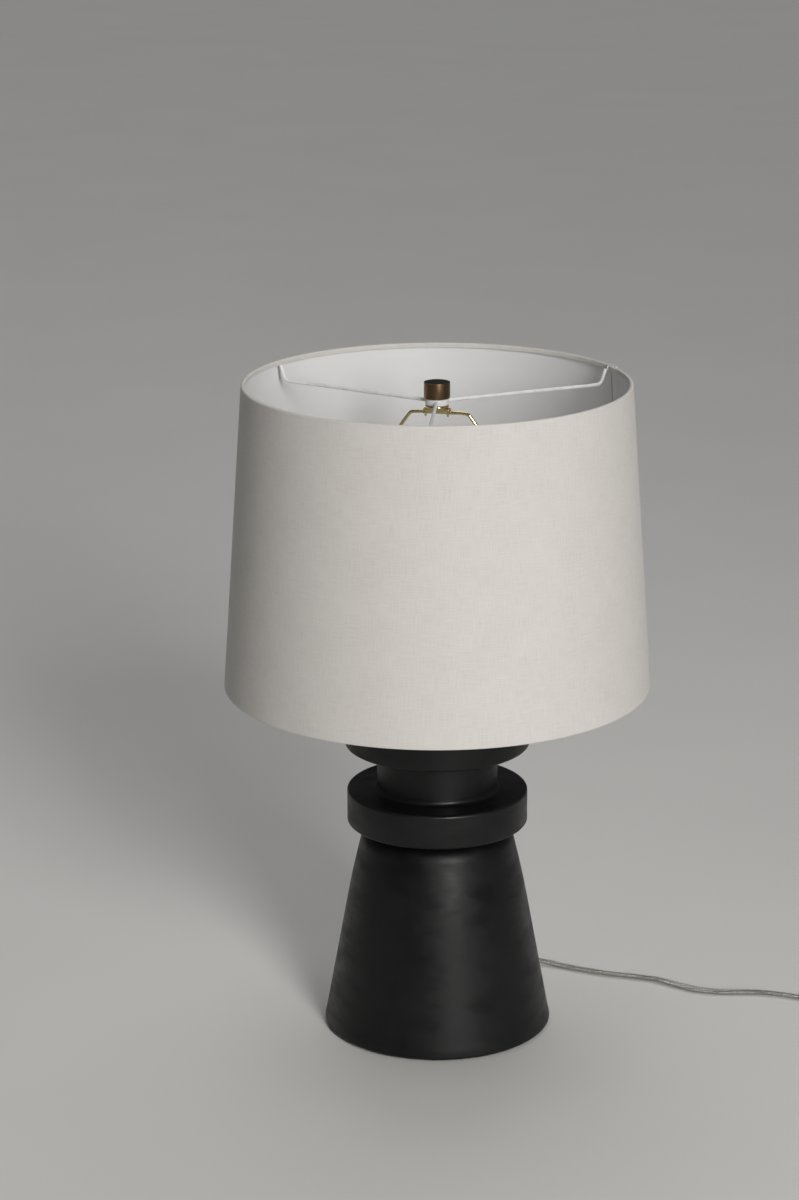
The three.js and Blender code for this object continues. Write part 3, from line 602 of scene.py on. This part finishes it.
def cord_twist(distance):
    """The flat cord rolls a little one way and the other where it lies loose, and lies flat in its coil."""
    starting = max(0.0, min(1.0, (distance - LOOSE_FROM) / LOOSE_EASE))
    ending = max(0.0, min(1.0, (LOOSE_TO - distance) / LOOSE_EASE))
    return starting * ending * ROLL * math.sin(distance / ROLL_LENGTH)


def cord_section():
    """Two round cores side by side under one skin, with a groove between them."""
    radius = CORD_THICKNESS / 2
    offset = CORD_WIDTH / 2 - radius
    groove = radius * 0.62
    right = arc(offset, 0, radius, -70, 70, 6)
    left = arc(-offset, 0, radius, 110, 250, 6)
    return [*right, (0.0, groove), *left, (0.0, -groove)]


def core_path(side):
    """The centre line of the core on one side of the flat cord."""
    path, across, up = frames(CORD_PATH, UP)
    points = []
    for centre, a, u, distance in zip(path, across, up, distances_along(path)):
        turn = cord_twist(distance)
        points.append(centre + (a * math.cos(turn) + u * math.sin(turn)) * side * CORE_OFFSET)
    return points


flex = piece("cord", sweep(CORD_PATH, cord_section(), twist=cord_twist), SHEATH, "stand",
             ["cord_run", "cord_coil", "cord_tail"])
for side_name, side in (("left", -1), ("right", 1)):
    core = sweep(core_path(side), arc(0, 0, CORE_RADIUS, 0, 330, 11))
    piece(f"cord_core_{side_name}", core, STRANDS, "stand")


def make_plug():
    """A moulded two-blade plug whose grooved neck meets the cord."""
    place = Matrix.Translation(PLUG_PLACE) @ Matrix.Rotation(math.pi, 4, "Z")
    outline = rounded([(12, -6, 2), (20, -12.5, 4), (34, -12.5, 2), (34, 12.5, 2), (20, 12.5, 4), (12, 6, 2)])
    grip = prism(outline, -6, 6, 1.8)
    neck = [(0, 0.3), (4.0, 0.3)]
    for i in range(4):
        x, wider = 1.4 + i * 2.8, 0.35 * i
        neck += [(4.3 + wider, x), (4.5 + wider, x + 0.5), (4.5 + wider, x + 1.5), (4.1 + wider, x + 2.1)]
    neck += [(5.8, 14), (0, 14)]
    along = Matrix.Rotation(math.pi / 2, 4, "Y")
    body = together(grip, turned(lathe(neck, 40), along))
    parts = [piece("plug", turned(body, place), CLEAR_PLASTIC, "stand", ["plug_body"])]
    profile = rounded([(34.3, -3.2, 0.2), (49, -3.2, 1.2), (50.3, -2.0, 1), (50.3, 2.0, 1), (49, 3.2, 1.2),
                       (34.3, 3.2, 0.2)])
    upright = Matrix.Rotation(math.pi / 2, 4, "X")
    for name, side in (("left", 1), ("right", -1)):
        shift = Matrix.Translation((0, side * BLADE_OFFSET, 0))
        blade = turned(prism(profile, -0.75, 0.75, 0.25), shift @ upright)
        parts.append(detail(f"plug_blade_{name}", turned(blade, place), BRASS, "stand", "brass"))
    return parts


plug_parts = make_plug()


def strain_relief():
    """Barrel, flange and a tapered, grooved nose, made along +Z and laid along the exit direction."""
    flange = CONE_RADIUS - 0.6
    hole = CORD_WIDTH / 2 + 0.2
    outline = rounded([(hole, flange - 16, 0), (4.9, flange - 16, 0), (4.9, flange, 0), (7.5, flange, 0.6),
                       (7.5, flange + 2, 0.8), (6.0, flange + 3, 0.6)])
    for i in range(5):
        z = flange + 4.4 + i * 3.0
        r = 6.0 - 0.22 * i
        outline += [(r, z), (r, z + 1.3), (r - 0.5, z + 1.7), (r - 0.5, z + 2.6)]
    outline += [(4.9, RELIEF_TIP - 0.7), (4.5, RELIEF_TIP), (hole, RELIEF_TIP)]
    lay = (Matrix.Translation((0, 0, EXIT_HEIGHT)) @ Matrix.Rotation(EXIT, 4, "Z")
           @ Matrix.Rotation(math.pi / 2, 4, "Y"))
    return turned(lathe(outline, 48), lay)


piece("strain_relief", strain_relief(), CLEAR_PLASTIC, "stand", ["cord_bushing"])

# ------------------------------------------------------------------ base

ROD_BORE = 5.4
CONE_TAPER, CONE_UPPER_TAPER, CONE_BEND, FOOT_ROUND = 0.183, 0.235, (125, 165), 2.9
WALL_HEIGHTS = range(12, 181, 8)
SHOULDER_Z, SHOULDER_ROUND = 183, 16.5
COLLAR_Z, COLLAR_RADIUS = 201.5, 84.7
NECK_Z, NECK_RADIUS, NECK_FILLET = 234.4, 56.5, 4.0
DISC_Z, DISC_RADIUS, DISC_TOP, CAPITAL_Z = 277.5, 86.5, 315.5, 322.0
TURNED_EDGE = 2.7
FELT_RADIUS, FELT_TOP = 101, 1.5
RECESS_RADIUS, RECESS_TOP, STEP_RADIUS = 40, 26, 58


def cone():
    """The foot: a recess for the nut, a rounded edge, the wall with its bend, the shoulder and a step under the
    collar."""
    low, high = CONE_BEND

    def side(z):
        bent = min(max(z - low, 0), high - low)
        extra = (CONE_UPPER_TAPER - CONE_TAPER) * (bent**2 / (2 * (high - low)) + max(z - high, 0))
        return CONE_RADIUS - CONE_TAPER * (z - FOOT_ROUND) - extra

    foot = arc(CONE_RADIUS - FOOT_ROUND, FELT_TOP + FOOT_ROUND, FOOT_ROUND, -90, 0, 8)
    wall = [(side(z), z) for z in WALL_HEIGHTS]
    tilt = math.atan(CONE_UPPER_TAPER)
    middle_r = side(SHOULDER_Z) - SHOULDER_ROUND * math.cos(tilt)
    middle_z = SHOULDER_Z - SHOULDER_ROUND * math.sin(tilt)
    shoulder = arc(middle_r, middle_z, SHOULDER_ROUND, math.degrees(tilt), 84, 12)
    return [(RECESS_RADIUS, FELT_TOP), *foot, *wall, *shoulder, (STEP_RADIUS, shoulder[-1][1]),
            (STEP_RADIUS, COLLAR_Z), (ROD_BORE, COLLAR_Z), (ROD_BORE, RECESS_TOP), (RECESS_RADIUS, RECESS_TOP)]


def turned_disc(radius, bottom, top, upper):
    """A disc with rounded edges, closed by the outline upper from its top edge in to the rod."""
    inner = radius - TURNED_EDGE
    return [(ROD_BORE, bottom), *arc(inner, bottom + TURNED_EDGE, TURNED_EDGE, -90, 0, 8),
            *arc(inner, top - TURNED_EDGE, TURNED_EDGE, 0, 90, 8), *upper]


def neck():
    fillet = arc(NECK_RADIUS + NECK_FILLET, NECK_Z + NECK_FILLET, NECK_FILLET, 270, 180, 8)
    return [(ROD_BORE, NECK_Z), *fillet, (NECK_RADIUS, DISC_Z), (ROD_BORE, DISC_Z)]


collar = turned_disc(COLLAR_RADIUS, COLLAR_Z, NECK_Z, [(ROD_BORE, NECK_Z)])
disc = turned_disc(DISC_RADIUS, DISC_Z, DISC_TOP,
                   [(70, 316.3), (51.9, 318.1), (36, 320.4), (26, 321.7), (24, CAPITAL_Z), (ROD_BORE, CAPITAL_Z)])
stack = {"base_cone": cone(), "base_collar": collar, "neck_spool": neck(), "upper_disc": disc}
for node, outline in stack.items():
    detail(node, lathe(outline, 256), BLACK_WOOD, "stand", "black_base")
detail("felt_pad", lathe(ring(0, FELT_RADIUS, 0, FELT_TOP, 0.5, 0.4), 192), FELT, "stand", "felt")

# ------------------------------------------------------------------ stem hardware

HARP_TURN = math.radians(-14)
HARP_FRAME = Matrix.Rotation(HARP_TURN, 4, "Z")
CHECK_RADIUS, CHECK_TOP, TUBE_RADIUS = 22, 325, 9
SADDLE_Z, SADDLE_TOP, TONGUE_X = 337.0, 338.6, 31.3
LOCKNUT_BORE, LOCKNUT_CORNER, LOCKNUT_Z, LOCKNUT_TOP = 5.8, 9.0, 338.7, 341.5
CAP_Z = 341.6
STUD_PITCH, SOCKET_PITCH = 0.9407, 3.629


def thread(depth, pitch):
    """A lathe shape that cuts a helical thread into the whole outline."""

    def shape(r, z, angle):
        phase = (z / pitch - angle / TURN) % 1.0
        return r - depth * (0.5 - 0.5 * math.cos(TURN * phase))

    return shape


def rows(radius, low, high, step):
    """Outline points up a straight wall, about step apart."""
    count = max(1, round((high - low) / step))
    return [(radius, low + (high - low) * i / count) for i in range(count + 1)]


def hexagon(corner, bore):
    """A lathe shape that cuts six flats, outside the bore. corner is the radius at the hexagon's corners."""

    def shape(r, z, angle):
        if r <= bore + 0.01:
            return r
        flat = corner * math.cos(math.pi / 6)
        return min(r, flat / math.cos((angle % (math.pi / 3)) - math.pi / 6))

    return shape


check = ring(ROD_BORE, CHECK_RADIUS, CAPITAL_Z, CHECK_TOP, 0.6, 0.9)
detail("check_ring", lathe(check, 96), BRASS, "stand", "brass")
tube = ring(ROD_BORE, TUBE_RADIUS, CHECK_TOP, SADDLE_Z, 0.4, 0.4)
detail("neck_tube", lathe(tube, 72), BRASS, "stand", "brass")
nut = lathe(ring(LOCKNUT_BORE, LOCKNUT_CORNER, LOCKNUT_Z, LOCKNUT_TOP, 0.3, 0.6), 96,
            hexagon(LOCKNUT_CORNER, LOCKNUT_BORE))
detail("saddle_locknut", turned(nut, HARP_FRAME), BRASS, "stand", "brass")


def saddle():
    """The harp's saddle: a waisted plate with a tongue bent up at each end."""
    plate = rounded([(-32, -5, 2.5), (-20, -8, 6), (20, -8, 6), (32, -5, 2.5), (32, 5, 2.5), (20, 8, 6),
                     (-20, 8, 6), (-32, 5, 2.5)])
    parts = [prism(plate, SADDLE_Z, SADDLE_TOP, 0.35)]
    for side in (-1, 1):
        x = side * TONGUE_X
        parts.append(slab((x - 0.7, -2, SADDLE_Z + 0.4), (x + 0.7, 2, SADDLE_TOP + 20), 0.35))
    return turned(together(*parts), HARP_FRAME)


detail("harp_saddle", saddle(), BRASS, "stand", "brass")

HARP_TOP, HARP_WIRE = 594.1, 1.6
HARP_LEAN, LEAN_FROM, LEAN_LENGTH = 2.4, 372, 188
HARP_SIDE = [
    (28.6, 339.1), (28.6, 356), (28.6, 372), (31, 388), (40, 412), (50, 440), (56, 472), (57, 504), (54, 532),
    (47.5, 558), (38.5, 577), (30.2, 589.1), (26.6, 593.1), (21.5, HARP_TOP), (12, HARP_TOP), (0, HARP_TOP),
]


def lean(z):
    """How far the wire is pushed over to one side, above its straight legs."""
    t = min(max((z - LEAN_FROM) / LEAN_LENGTH, 0), 1)
    return HARP_LEAN * t * t * (3 - 2 * t)


def harp_wire():
    """Both sides of the harp as one bent wire."""
    left = [(lean(z) - x, 0, z) for x, z in HARP_SIDE]
    right = [(lean(z) + x, 0, z) for x, z in HARP_SIDE[:-1][::-1]]
    path = smooth_curve(left + right, 2.2)
    return turned(sweep(path, arc(0, 0, HARP_WIRE, 0, 345, 23), normal=(0, -1, 0)), HARP_FRAME)


detail("harp_wire", harp_wire(), HARP_BRASS, "stand", "harp_brass")


def crosspiece():
    """A pressed strap over the harp's crossbar, with a claw folded round the wire at each end."""
    reach = 12.2
    parts = [slab((-reach, -4, HARP_TOP + 2.3), (reach, 4, HARP_TOP + 3.8), 0.5)]
    for side in (-1, 1):
        low, high = sorted((side * 4.0, side * 2.9))
        parts.append(slab((-reach, low, HARP_TOP - 0.8), (reach, high, HARP_TOP + 3.4), 0.4))
        claw = [(10.4 * side, y, HARP_TOP + z) for y, z in arc(0, 0, 2.5, 25, -205, 18)]
        section = rounded([(-1.7, -0.55, 0.3), (1.7, -0.55, 0.3), (1.7, 0.55, 0.3), (-1.7, 0.55, 0.3)], 2)
        parts.append(sweep(claw, section, normal=(1, 0, 0)))
    return turned(together(*parts), HARP_FRAME)


detail("harp_crosspiece", crosspiece(), HARP_BRASS, "stand", "harp_brass")


def stud():
    """The round seat that the shade's hub lies on, and the threaded stud over it."""
    seat = rounded([(0, 598.2, 0), (10.9, 598.2, 0.8), (10.9, 601.0, 0.8), (3.6, 601.0, 0.2), (3.6, 601.2, 0)])
    screw = [(0, 600.8), *rows(3.1, 600.8, 613.2, 0.12), (2.4, 614), (0, 614)]
    return together(lathe(seat, 72), lathe(screw, 32, thread(0.3, STUD_PITCH)))


detail("harp_stud", stud(), HARP_BRASS, "stand", "brass")

FERRULE_X, FERRULE_Z = 29.6, 338.9
sleeve = rounded([(3.4, 0, 0.15), (4.3, 0, 0.4), (4.3, 1.5, 0.2), (4.05, 2, 0.3), (4.05, 8, 0.3), (4.3, 8.5, 0.2),
                  (4.3, 10, 0.4), (3.4, 10, 0.15)])
for side_name, side in (("left", -1), ("right", 1)):
    place = HARP_FRAME @ Matrix.Translation((side * FERRULE_X, 0, FERRULE_Z))
    detail(f"harp_ferrule_{side_name}", turned(lathe(sleeve, 40), place), BRASS, f"ferrule_{side_name}", "brass")

# ------------------------------------------------------------------ socket, switch and bulb

KNOB_Z, SHELL_Z = 371, 355.6
ALONG_SWITCH = Matrix.Translation((0, 0, KNOB_Z)) @ HARP_FRAME @ Matrix.Rotation(math.pi / 2, 4, "X")

cap = rounded([(ROD_BORE, CAP_Z, 0), (9.5, CAP_Z, 0.6), (10.8, CAP_Z + 5, 2), (15.7, CAP_Z + 10.5, 4),
               (17.2, CAP_Z + 13, 1.5), (17.2, CAP_Z + 18, 0.3), (16.3, CAP_Z + 18, 0.3),
               (16.3, CAP_Z + 13.4, 1), (14.8, CAP_Z + 11.4, 2), (10.2, CAP_Z + 6, 1), (ROD_BORE, CAP_Z + 6, 0)])
detail("socket_cap", lathe(cap, 96), BRASS, "stand", "socket_brass")


def socket_shell():
    """The shell's wall with a bead near its foot, a bead near its top and a flared mouth."""
    steps = [(17.5, 0, 0.2), (18.2, 0, 0.3), (18.2, 2.4, 0.3), (18.55, 3.0, 0.3), (18.55, 4.6, 0.3), (18.2, 5.2, 0.3),
             (18.2, 33.4, 0.4), (18.6, 34.2, 0.4), (18.6, 35.8, 0.4), (18.2, 36.6, 0.4), (18.2, 38.6, 0.4),
             (18.9, 39.8, 0.5), (18.9, 42.4, 0.6), (17.5, 42.4, 0.3)]
    return lathe(rounded([(r, SHELL_Z + rise, rounding) for r, rise, rounding in steps]), 96)


detail("socket_shell", socket_shell(), BRASS, "stand", "socket_brass")
inside = [(14.3, 380.1), (14.75, 380.1), *rows(14.75, 380.6, 396.6, 0.45), (14.4, 397), (14.25, 397),
          *rows(14.3, 380.6, 396.6, 0.45)[::-1]]
detail("screw_shell", lathe(inside, 72, thread(0.25, SOCKET_PITCH)), BRASS, "stand", "brass")

shaft = rounded([(0, 7.4, 0), (2.2, 7.4, 0), (2.2, 32.5, 0.2), (0, 32.5, 0)])
detail("switch_shaft", turned(lathe(shaft, 32), ALONG_SWITCH), BRASS, "switch", "brass")


def knob():
    """A tapered knob with twelve ribs and a dished end."""

    def ribs(r, z, angle):
        return r - 0.32 * (1 - math.cos(12 * angle)) if r > 4.5 else r

    outline = rounded([(0, 33, 0), (2.4, 33, 0.2), (2.4, 24, 0.2), (4.4, 24, 0.4), (5.6, 25.5, 0.6),
                       (6.0, 35.2, 1.4), (4.6, 37, 0.8), (4.0, 37, 0.3), (3.6, 36.6, 0.3), (0, 36.6, 0)])
    return turned(lathe(outline, 144, ribs), ALONG_SWITCH)


detail("switch_knob", knob(), MOULDED, "switch", "phenolic")

BULB_CAP_Z, BULB_CAP_TOP = 388.6, 408.6
BULB_MIDDLE, BULB_RADIUS = 462, 30


def bulb_glass():
    """A round globe that narrows to its neck, as a wall 1 mm thick."""
    outer = [(11.5, 398.6), (11.5, 409.4), (12.6, 413.5), (14.8, 418.5), (18.2, 425.5), (22.4, 434),
             (25.9, 442.5), *arc(0, BULB_MIDDLE, BULB_RADIUS, -32, 90, 26)]
    top = BULB_MIDDLE + BULB_RADIUS
    outer[-1] = (0, top)
    inner = [(max(r - 1, 0), z - 0.4) for r, z in outer[:-1]][::-1]
    inner[0] = (0, top - 1)
    return lathe([*outer, *inner], 96)


detail("bulb_glass", bulb_glass(), FROSTED, "bulb", "frosted_glass")
screw = [(0, BULB_CAP_Z), (9, BULB_CAP_Z), *rows(13.2, BULB_CAP_Z + 2.2, BULB_CAP_TOP - 3, 0.3),
         (12.6, BULB_CAP_TOP - 2.4), (13.1, BULB_CAP_TOP - 0.4), (13.2, BULB_CAP_TOP), (12.5, BULB_CAP_TOP),
         (11.8, BULB_CAP_TOP - 3), (11.8, BULB_CAP_Z + 2.8), (0, BULB_CAP_Z + 2.8)]
cut_thread = thread(0.8, SOCKET_PITCH)


def bulb_thread(r, z, angle):
    """The thread on the screw base's wall only."""
    on_thread = 13.0 < r < 13.3 and BULB_CAP_Z + 2 < z < BULB_CAP_TOP - 2.9
    return cut_thread(r, z, angle) if on_thread else r


detail("bulb_screw_base", lathe(screw, 96, bulb_thread), NICKEL, "bulb", "nickel")
insulator = rounded([(0, 384.7, 0), (4.4, 384.7, 0.6), (8.8, 388.5, 0.4), (0, 388.5, 0)])
detail("bulb_insulator", lathe(insulator, 64), MOULDED, "bulb", "bulb_insulator")
tip = rounded([(0, 382.6, 0), (2.4, 382.6, 1.0), (3.4, 384.0, 0.5), (3.4, 384.6, 0.2), (0, 384.6, 0)])
detail("bulb_contact", lathe(tip, 40), STEEL, "bulb_core", "solder")

# ------------------------------------------------------------------ shade

SHADE_TOP, SHADE_BOTTOM = 622.2, 337.1
TOP_RADIUS, BOTTOM_RADIUS = 177.8, 197.95
SLOPE = (BOTTOM_RADIUS - TOP_RADIUS) / (SHADE_TOP - SHADE_BOTTOM)
HEM_DEPTH = 4.6
SEAM = math.radians(19.2)
SEAM_WIDTH = math.radians(4.0)
SHADE_SEGMENTS = 450


def shade_radius(z, depth):
    """The radius at the height z, depth inside the cloth's outer face."""
    return TOP_RADIUS + SLOPE * (SHADE_TOP - z) - depth


def in_seam(angle):
    return SEAM <= angle % TURN <= SEAM + SEAM_WIDTH


def cloth():
    """The cloth's outline: up the wall, over the top ring and back, and round the bottom ring in the same way. Each
    turn is a list of (depth inside the wall, distance from the rim)."""
    outside = [(0, 2.2), (0.0, 1.4), (0.12, 0.85), (0.42, 0.42), (0.85, 0.12), (1.4, 0), (2.3, 0), (2.8, 0.12),
               (3.15, 0.42), (3.42, 0.85), (3.5, 1.4), (3.5, 3.9), (3.4, HEM_DEPTH)]
    back = [(3.1, HEM_DEPTH), (3.1, 1.4), (2.8, 0.7), (2.2, 0.4), (1.3, 0.4), (0.7, 0.7), (0.4, 1.4)]
    turn = outside + back
    top = [(shade_radius(SHADE_TOP - drop, depth), SHADE_TOP - drop) for depth, drop in turn]
    bottom = [(shade_radius(SHADE_BOTTOM + rise, depth), SHADE_BOTTOM + rise) for depth, rise in turn][::-1]
    side = [(shade_radius(z, 0), z) for z in np.linspace(SHADE_BOTTOM + 8, SHADE_TOP - 8, 24)]
    return [*bottom, *side, *top]


def cloth_shape(r, z, angle):
    """A lapped seam up the wall, the slight waviness of cloth glued to a stiff backing, and the hem's uneven edge."""
    wave = 0.10 * math.sin(3 * angle + z / 60) + 0.06 * math.sin(7 * angle - z / 35)
    outer = r > shade_radius(z, 0.2)
    lap = 0.3 if in_seam(angle) and outer else 0.0
    hem = 0.0
    inner = r < shade_radius(z, 3.0)
    if inner and min(SHADE_TOP - z, z - SHADE_BOTTOM) > 3:
        hem = 0.14 * math.sin(31 * angle) + 0.1 * math.sin(53 * angle + 1)
    if inner and in_seam(angle):
        hem -= 0.9
    return r + (wave if outer or inner else 0.0) * 0.6 + lap + hem


shade_cloth = piece("shade_cloth", lathe(cloth(), SHADE_SEGMENTS, cloth_shape), LINEN, "shade",
                    ["shade_fabric"])


def lining_outline():
    heights = list(np.linspace(SHADE_BOTTOM + 1.5, SHADE_TOP - 1.5, 20))
    outer = [(shade_radius(z, 0.5), z) for z in heights]
    inner = [(shade_radius(z, 0.95), z) for z in heights[::-1]]
    return outer + inner


def lining_shape(r, z, angle):
    """The inner face's slight waviness, and its lap behind the seam."""
    wave = 0.12 * math.sin(2 * angle + z / 80) + 0.08 * math.sin(5 * angle + z / 40)
    if r > shade_radius(z, 0.7):
        return r
    return r + 0.4 * wave - (0.8 if in_seam(angle) else 0.0)


detail("shade_lining", lathe(lining_outline(), SHADE_SEGMENTS, lining_shape), LINING, "shade", "lining")


def on_shade(degrees, z, depth):
    """A point on the shade's wall, depth inside the cloth's outer face."""
    radius, angle = shade_radius(z, depth), math.radians(degrees)
    return radius * math.cos(angle), radius * math.sin(angle), z


def seam_line():
    """The glued edge of the lining where its two ends overlap, in a grey darker than the lining: partly the edge's
    own colour, partly painted shadow along the lap's step.
    """
    edge = math.degrees(SEAM + SEAM_WIDTH)
    path = [on_shade(edge + 0.2, z, 1.1) for z in np.linspace(SHADE_BOTTOM + 6, SHADE_TOP - 6, 30)]
    return sweep(path, arc(0, 0, 0.42, 0, 300, 5), normal=(math.cos(SEAM), math.sin(SEAM), 0))


def hem_end():
    """The cloth's white selvedge, which shows where the two ends of the hem meet."""
    edge = math.degrees(SEAM + SEAM_WIDTH)
    path = [on_shade(edge + 0.3, SHADE_TOP - 4.2, 4.6), on_shade(edge + 0.3, SHADE_TOP - 2.0, 4.5),
            on_shade(edge + 0.1, SHADE_TOP - 0.2, 3.6), on_shade(edge - 0.7, SHADE_TOP + 0.5, 2.2),
            on_shade(edge - 2.0, SHADE_TOP + 0.4, 1.2), on_shade(edge - 3.8, SHADE_TOP - 0.1, 0.8)]
    return sweep(smooth_curve(path, 0.6), arc(0, 0, 0.75, 0, 324, 9))


# The seam line's darker grey is partly painted shadow along the lap's step.
piece("lining_seam", seam_line(), SEAM_EDGE_AND_SHADOW, "shade")
piece("hem_end", hem_end(), LINING, "shade")

HUB_Z = 601.3
ARM_Z, ARM_WIRE = HUB_Z + 3, 1.6
hub = rounded([(3.6, HUB_Z, 0.3), (10.8, HUB_Z, 1.0), (10.8, HUB_Z + 6, 1.2), (3.6, HUB_Z + 6, 0.3)])
detail("spider_hub", lathe(hub, 72), WHITE_PAINT, "shade", "white_wire")
ARM = [(9.6, 0, ARM_Z), (60, 0, ARM_Z), (120, 0, ARM_Z), (159.5, 0, ARM_Z), (165.2, 0, ARM_Z + 0.5),
       (168.2, 0, ARM_Z + 3.2), (169.8, 0, ARM_Z + 7.5), (172.2, 0, SHADE_TOP - 3.6)]
wire = sweep(smooth_curve(ARM, 2.5), arc(0, 0, ARM_WIRE, 0, 337.5, 15), normal=(0, 1, 0))
for arm_name, degrees in (("front", -94), ("right", 24), ("left", 147.3)):
    arm = turned(wire, Matrix.Rotation(math.radians(degrees), 4, "Z"))
    detail(f"spider_arm_{arm_name}", arm, WHITE_PAINT, "shade", "white_wire")

# ------------------------------------------------------------------ finial

FINIAL_Z, FINIAL_TOP, FINIAL_RADIUS = 607.6, 622.2, 12
DISH_Z, DISH_RADIUS, BORE_TOP = 622.05, 11.1, 616.3
INSERT_BORE, INSERT_RADIUS = 3.45, 5.2
finial = rounded([(5.5, FINIAL_Z, 0.2), (FINIAL_RADIUS, FINIAL_Z, 0.5), (FINIAL_RADIUS, FINIAL_TOP, 0.45),
                  (11.2, FINIAL_TOP, 0.1), (DISH_RADIUS, DISH_Z, 0.1), (0, DISH_Z, 0), (0, BORE_TOP, 0),
                  (5.5, BORE_TOP, 0)])
finial_piece = piece("finial_detail", lathe(finial, 128), BRONZE, "finial", ["finial_cap"])
# The finial's top face takes the near-black copy of the bronze: painted shade.
finial_piece.data.materials.append(PAINTED_SHADE_TOP)
for face in finial_piece.data.polygons:
    if face.center.z > 622.0 * MM and math.hypot(face.center.x, face.center.y) < 11.4 * MM:
        face.material_index = 1
insert = [(INSERT_BORE, 608.0), (INSERT_RADIUS, 607.9), (INSERT_RADIUS, 616), (INSERT_BORE, 616),
          *rows(INSERT_BORE, 608.2, 615.8, 0.12)[::-1]]
detail("finial_insert", lathe(insert, 48), BRASS, "finial_core", "brass")

# ------------------------------------------------------------------ CAD nodes kept as they are

KEPT = {
    "threaded_rod": STEEL, "bottom_washer": STEEL, "lock_washer": STEEL, "bottom_nut": STEEL,
    "terminal_screw_left": BRASS, "terminal_screw_right": BRASS, "insulating_sleeve": CARD,
    "socket_interior": MOULDED, "centre_contact": BRASS, "inner_cord": SHEATH,
    "shade_top_ring": WHITE_PAINT, "shade_bottom_ring": WHITE_PAINT,
}
for node, look in KEPT.items():
    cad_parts[node].data.materials.clear()
    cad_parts[node].data.materials.append(look)

# ------------------------------------------------------------------ floor and light

FLOOR_HALF = 40
KEY_PLACE, KEY_TARGET, KEY_SIZE = (1.3, -3.6, 1.85), (0, 0, 0.4), (1.0, 2.4)
KEY_POWER, KEY_COLOUR, KEY_SPREAD = 16.5, (1.0, 0.985, 0.965), math.radians(60)
SKY_STRENGTH, SKY_ANGLE, SKY_TILT = 0.85, math.radians(46), math.radians(-26)
WORLD_COLOUR, WORLD_STRENGTH = (0.80, 0.81, 0.82, 1), 0.09


def make_floor():
    """A plain pale floor, in metres."""
    mesh = bpy.data.meshes.new("floor")
    corners = [(-1, -1), (1, -1), (1, 1), (-1, 1)]
    mesh.from_pydata([(x * FLOOR_HALF, y * FLOOR_HALF, 0) for x, y in corners], [], [(0, 1, 2, 3)])
    look = Look("floor", (0.76, 0.75, 0.73), 0.85)
    look.colours(look.noise(3, 2), (0.3, (0.75, 0.74, 0.72)), (0.7, (0.77, 0.76, 0.74)))
    mesh.materials.append(look.material)
    floor = bpy.data.objects.new("floor", mesh)
    bpy.context.scene.collection.objects.link(floor)


def make_light(name, kind, strength):
    data = bpy.data.lights.new(name, kind)
    data.energy = strength
    light = bpy.data.objects.new(name, data)
    bpy.context.scene.collection.objects.link(light)
    return light


def softbox():
    """A tall soft box in front and to the right, held to a narrow spread so that it does not burn the floor."""
    light = make_light("key", "AREA", KEY_POWER)
    light.data.shape = "RECTANGLE"
    light.data.size, light.data.size_y = KEY_SIZE
    light.data.color = KEY_COLOUR
    light.data.spread = KEY_SPREAD
    direction = Vector(KEY_TARGET) - Vector(KEY_PLACE)
    light.matrix_world = Matrix.Translation(KEY_PLACE) @ direction.to_track_quat("-Z", "Y").to_matrix().to_4x4()


def overhead():
    """Wide soft light from above and a little behind, which lights the whole floor alike."""
    light = make_light("overhead", "SUN", SKY_STRENGTH)
    light.data.angle = SKY_ANGLE
    light.rotation_euler = (SKY_TILT, 0, 0)


make_floor()
softbox()
overhead()

world = bpy.data.worlds.new("world")
bpy.context.scene.world = world
world.use_nodes = True
world.node_tree.nodes["Background"].inputs["Color"].default_value = WORLD_COLOUR
world.node_tree.nodes["Background"].inputs["Strength"].default_value = WORLD_STRENGTH
bpy.context.scene.view_settings.view_transform = "Standard"
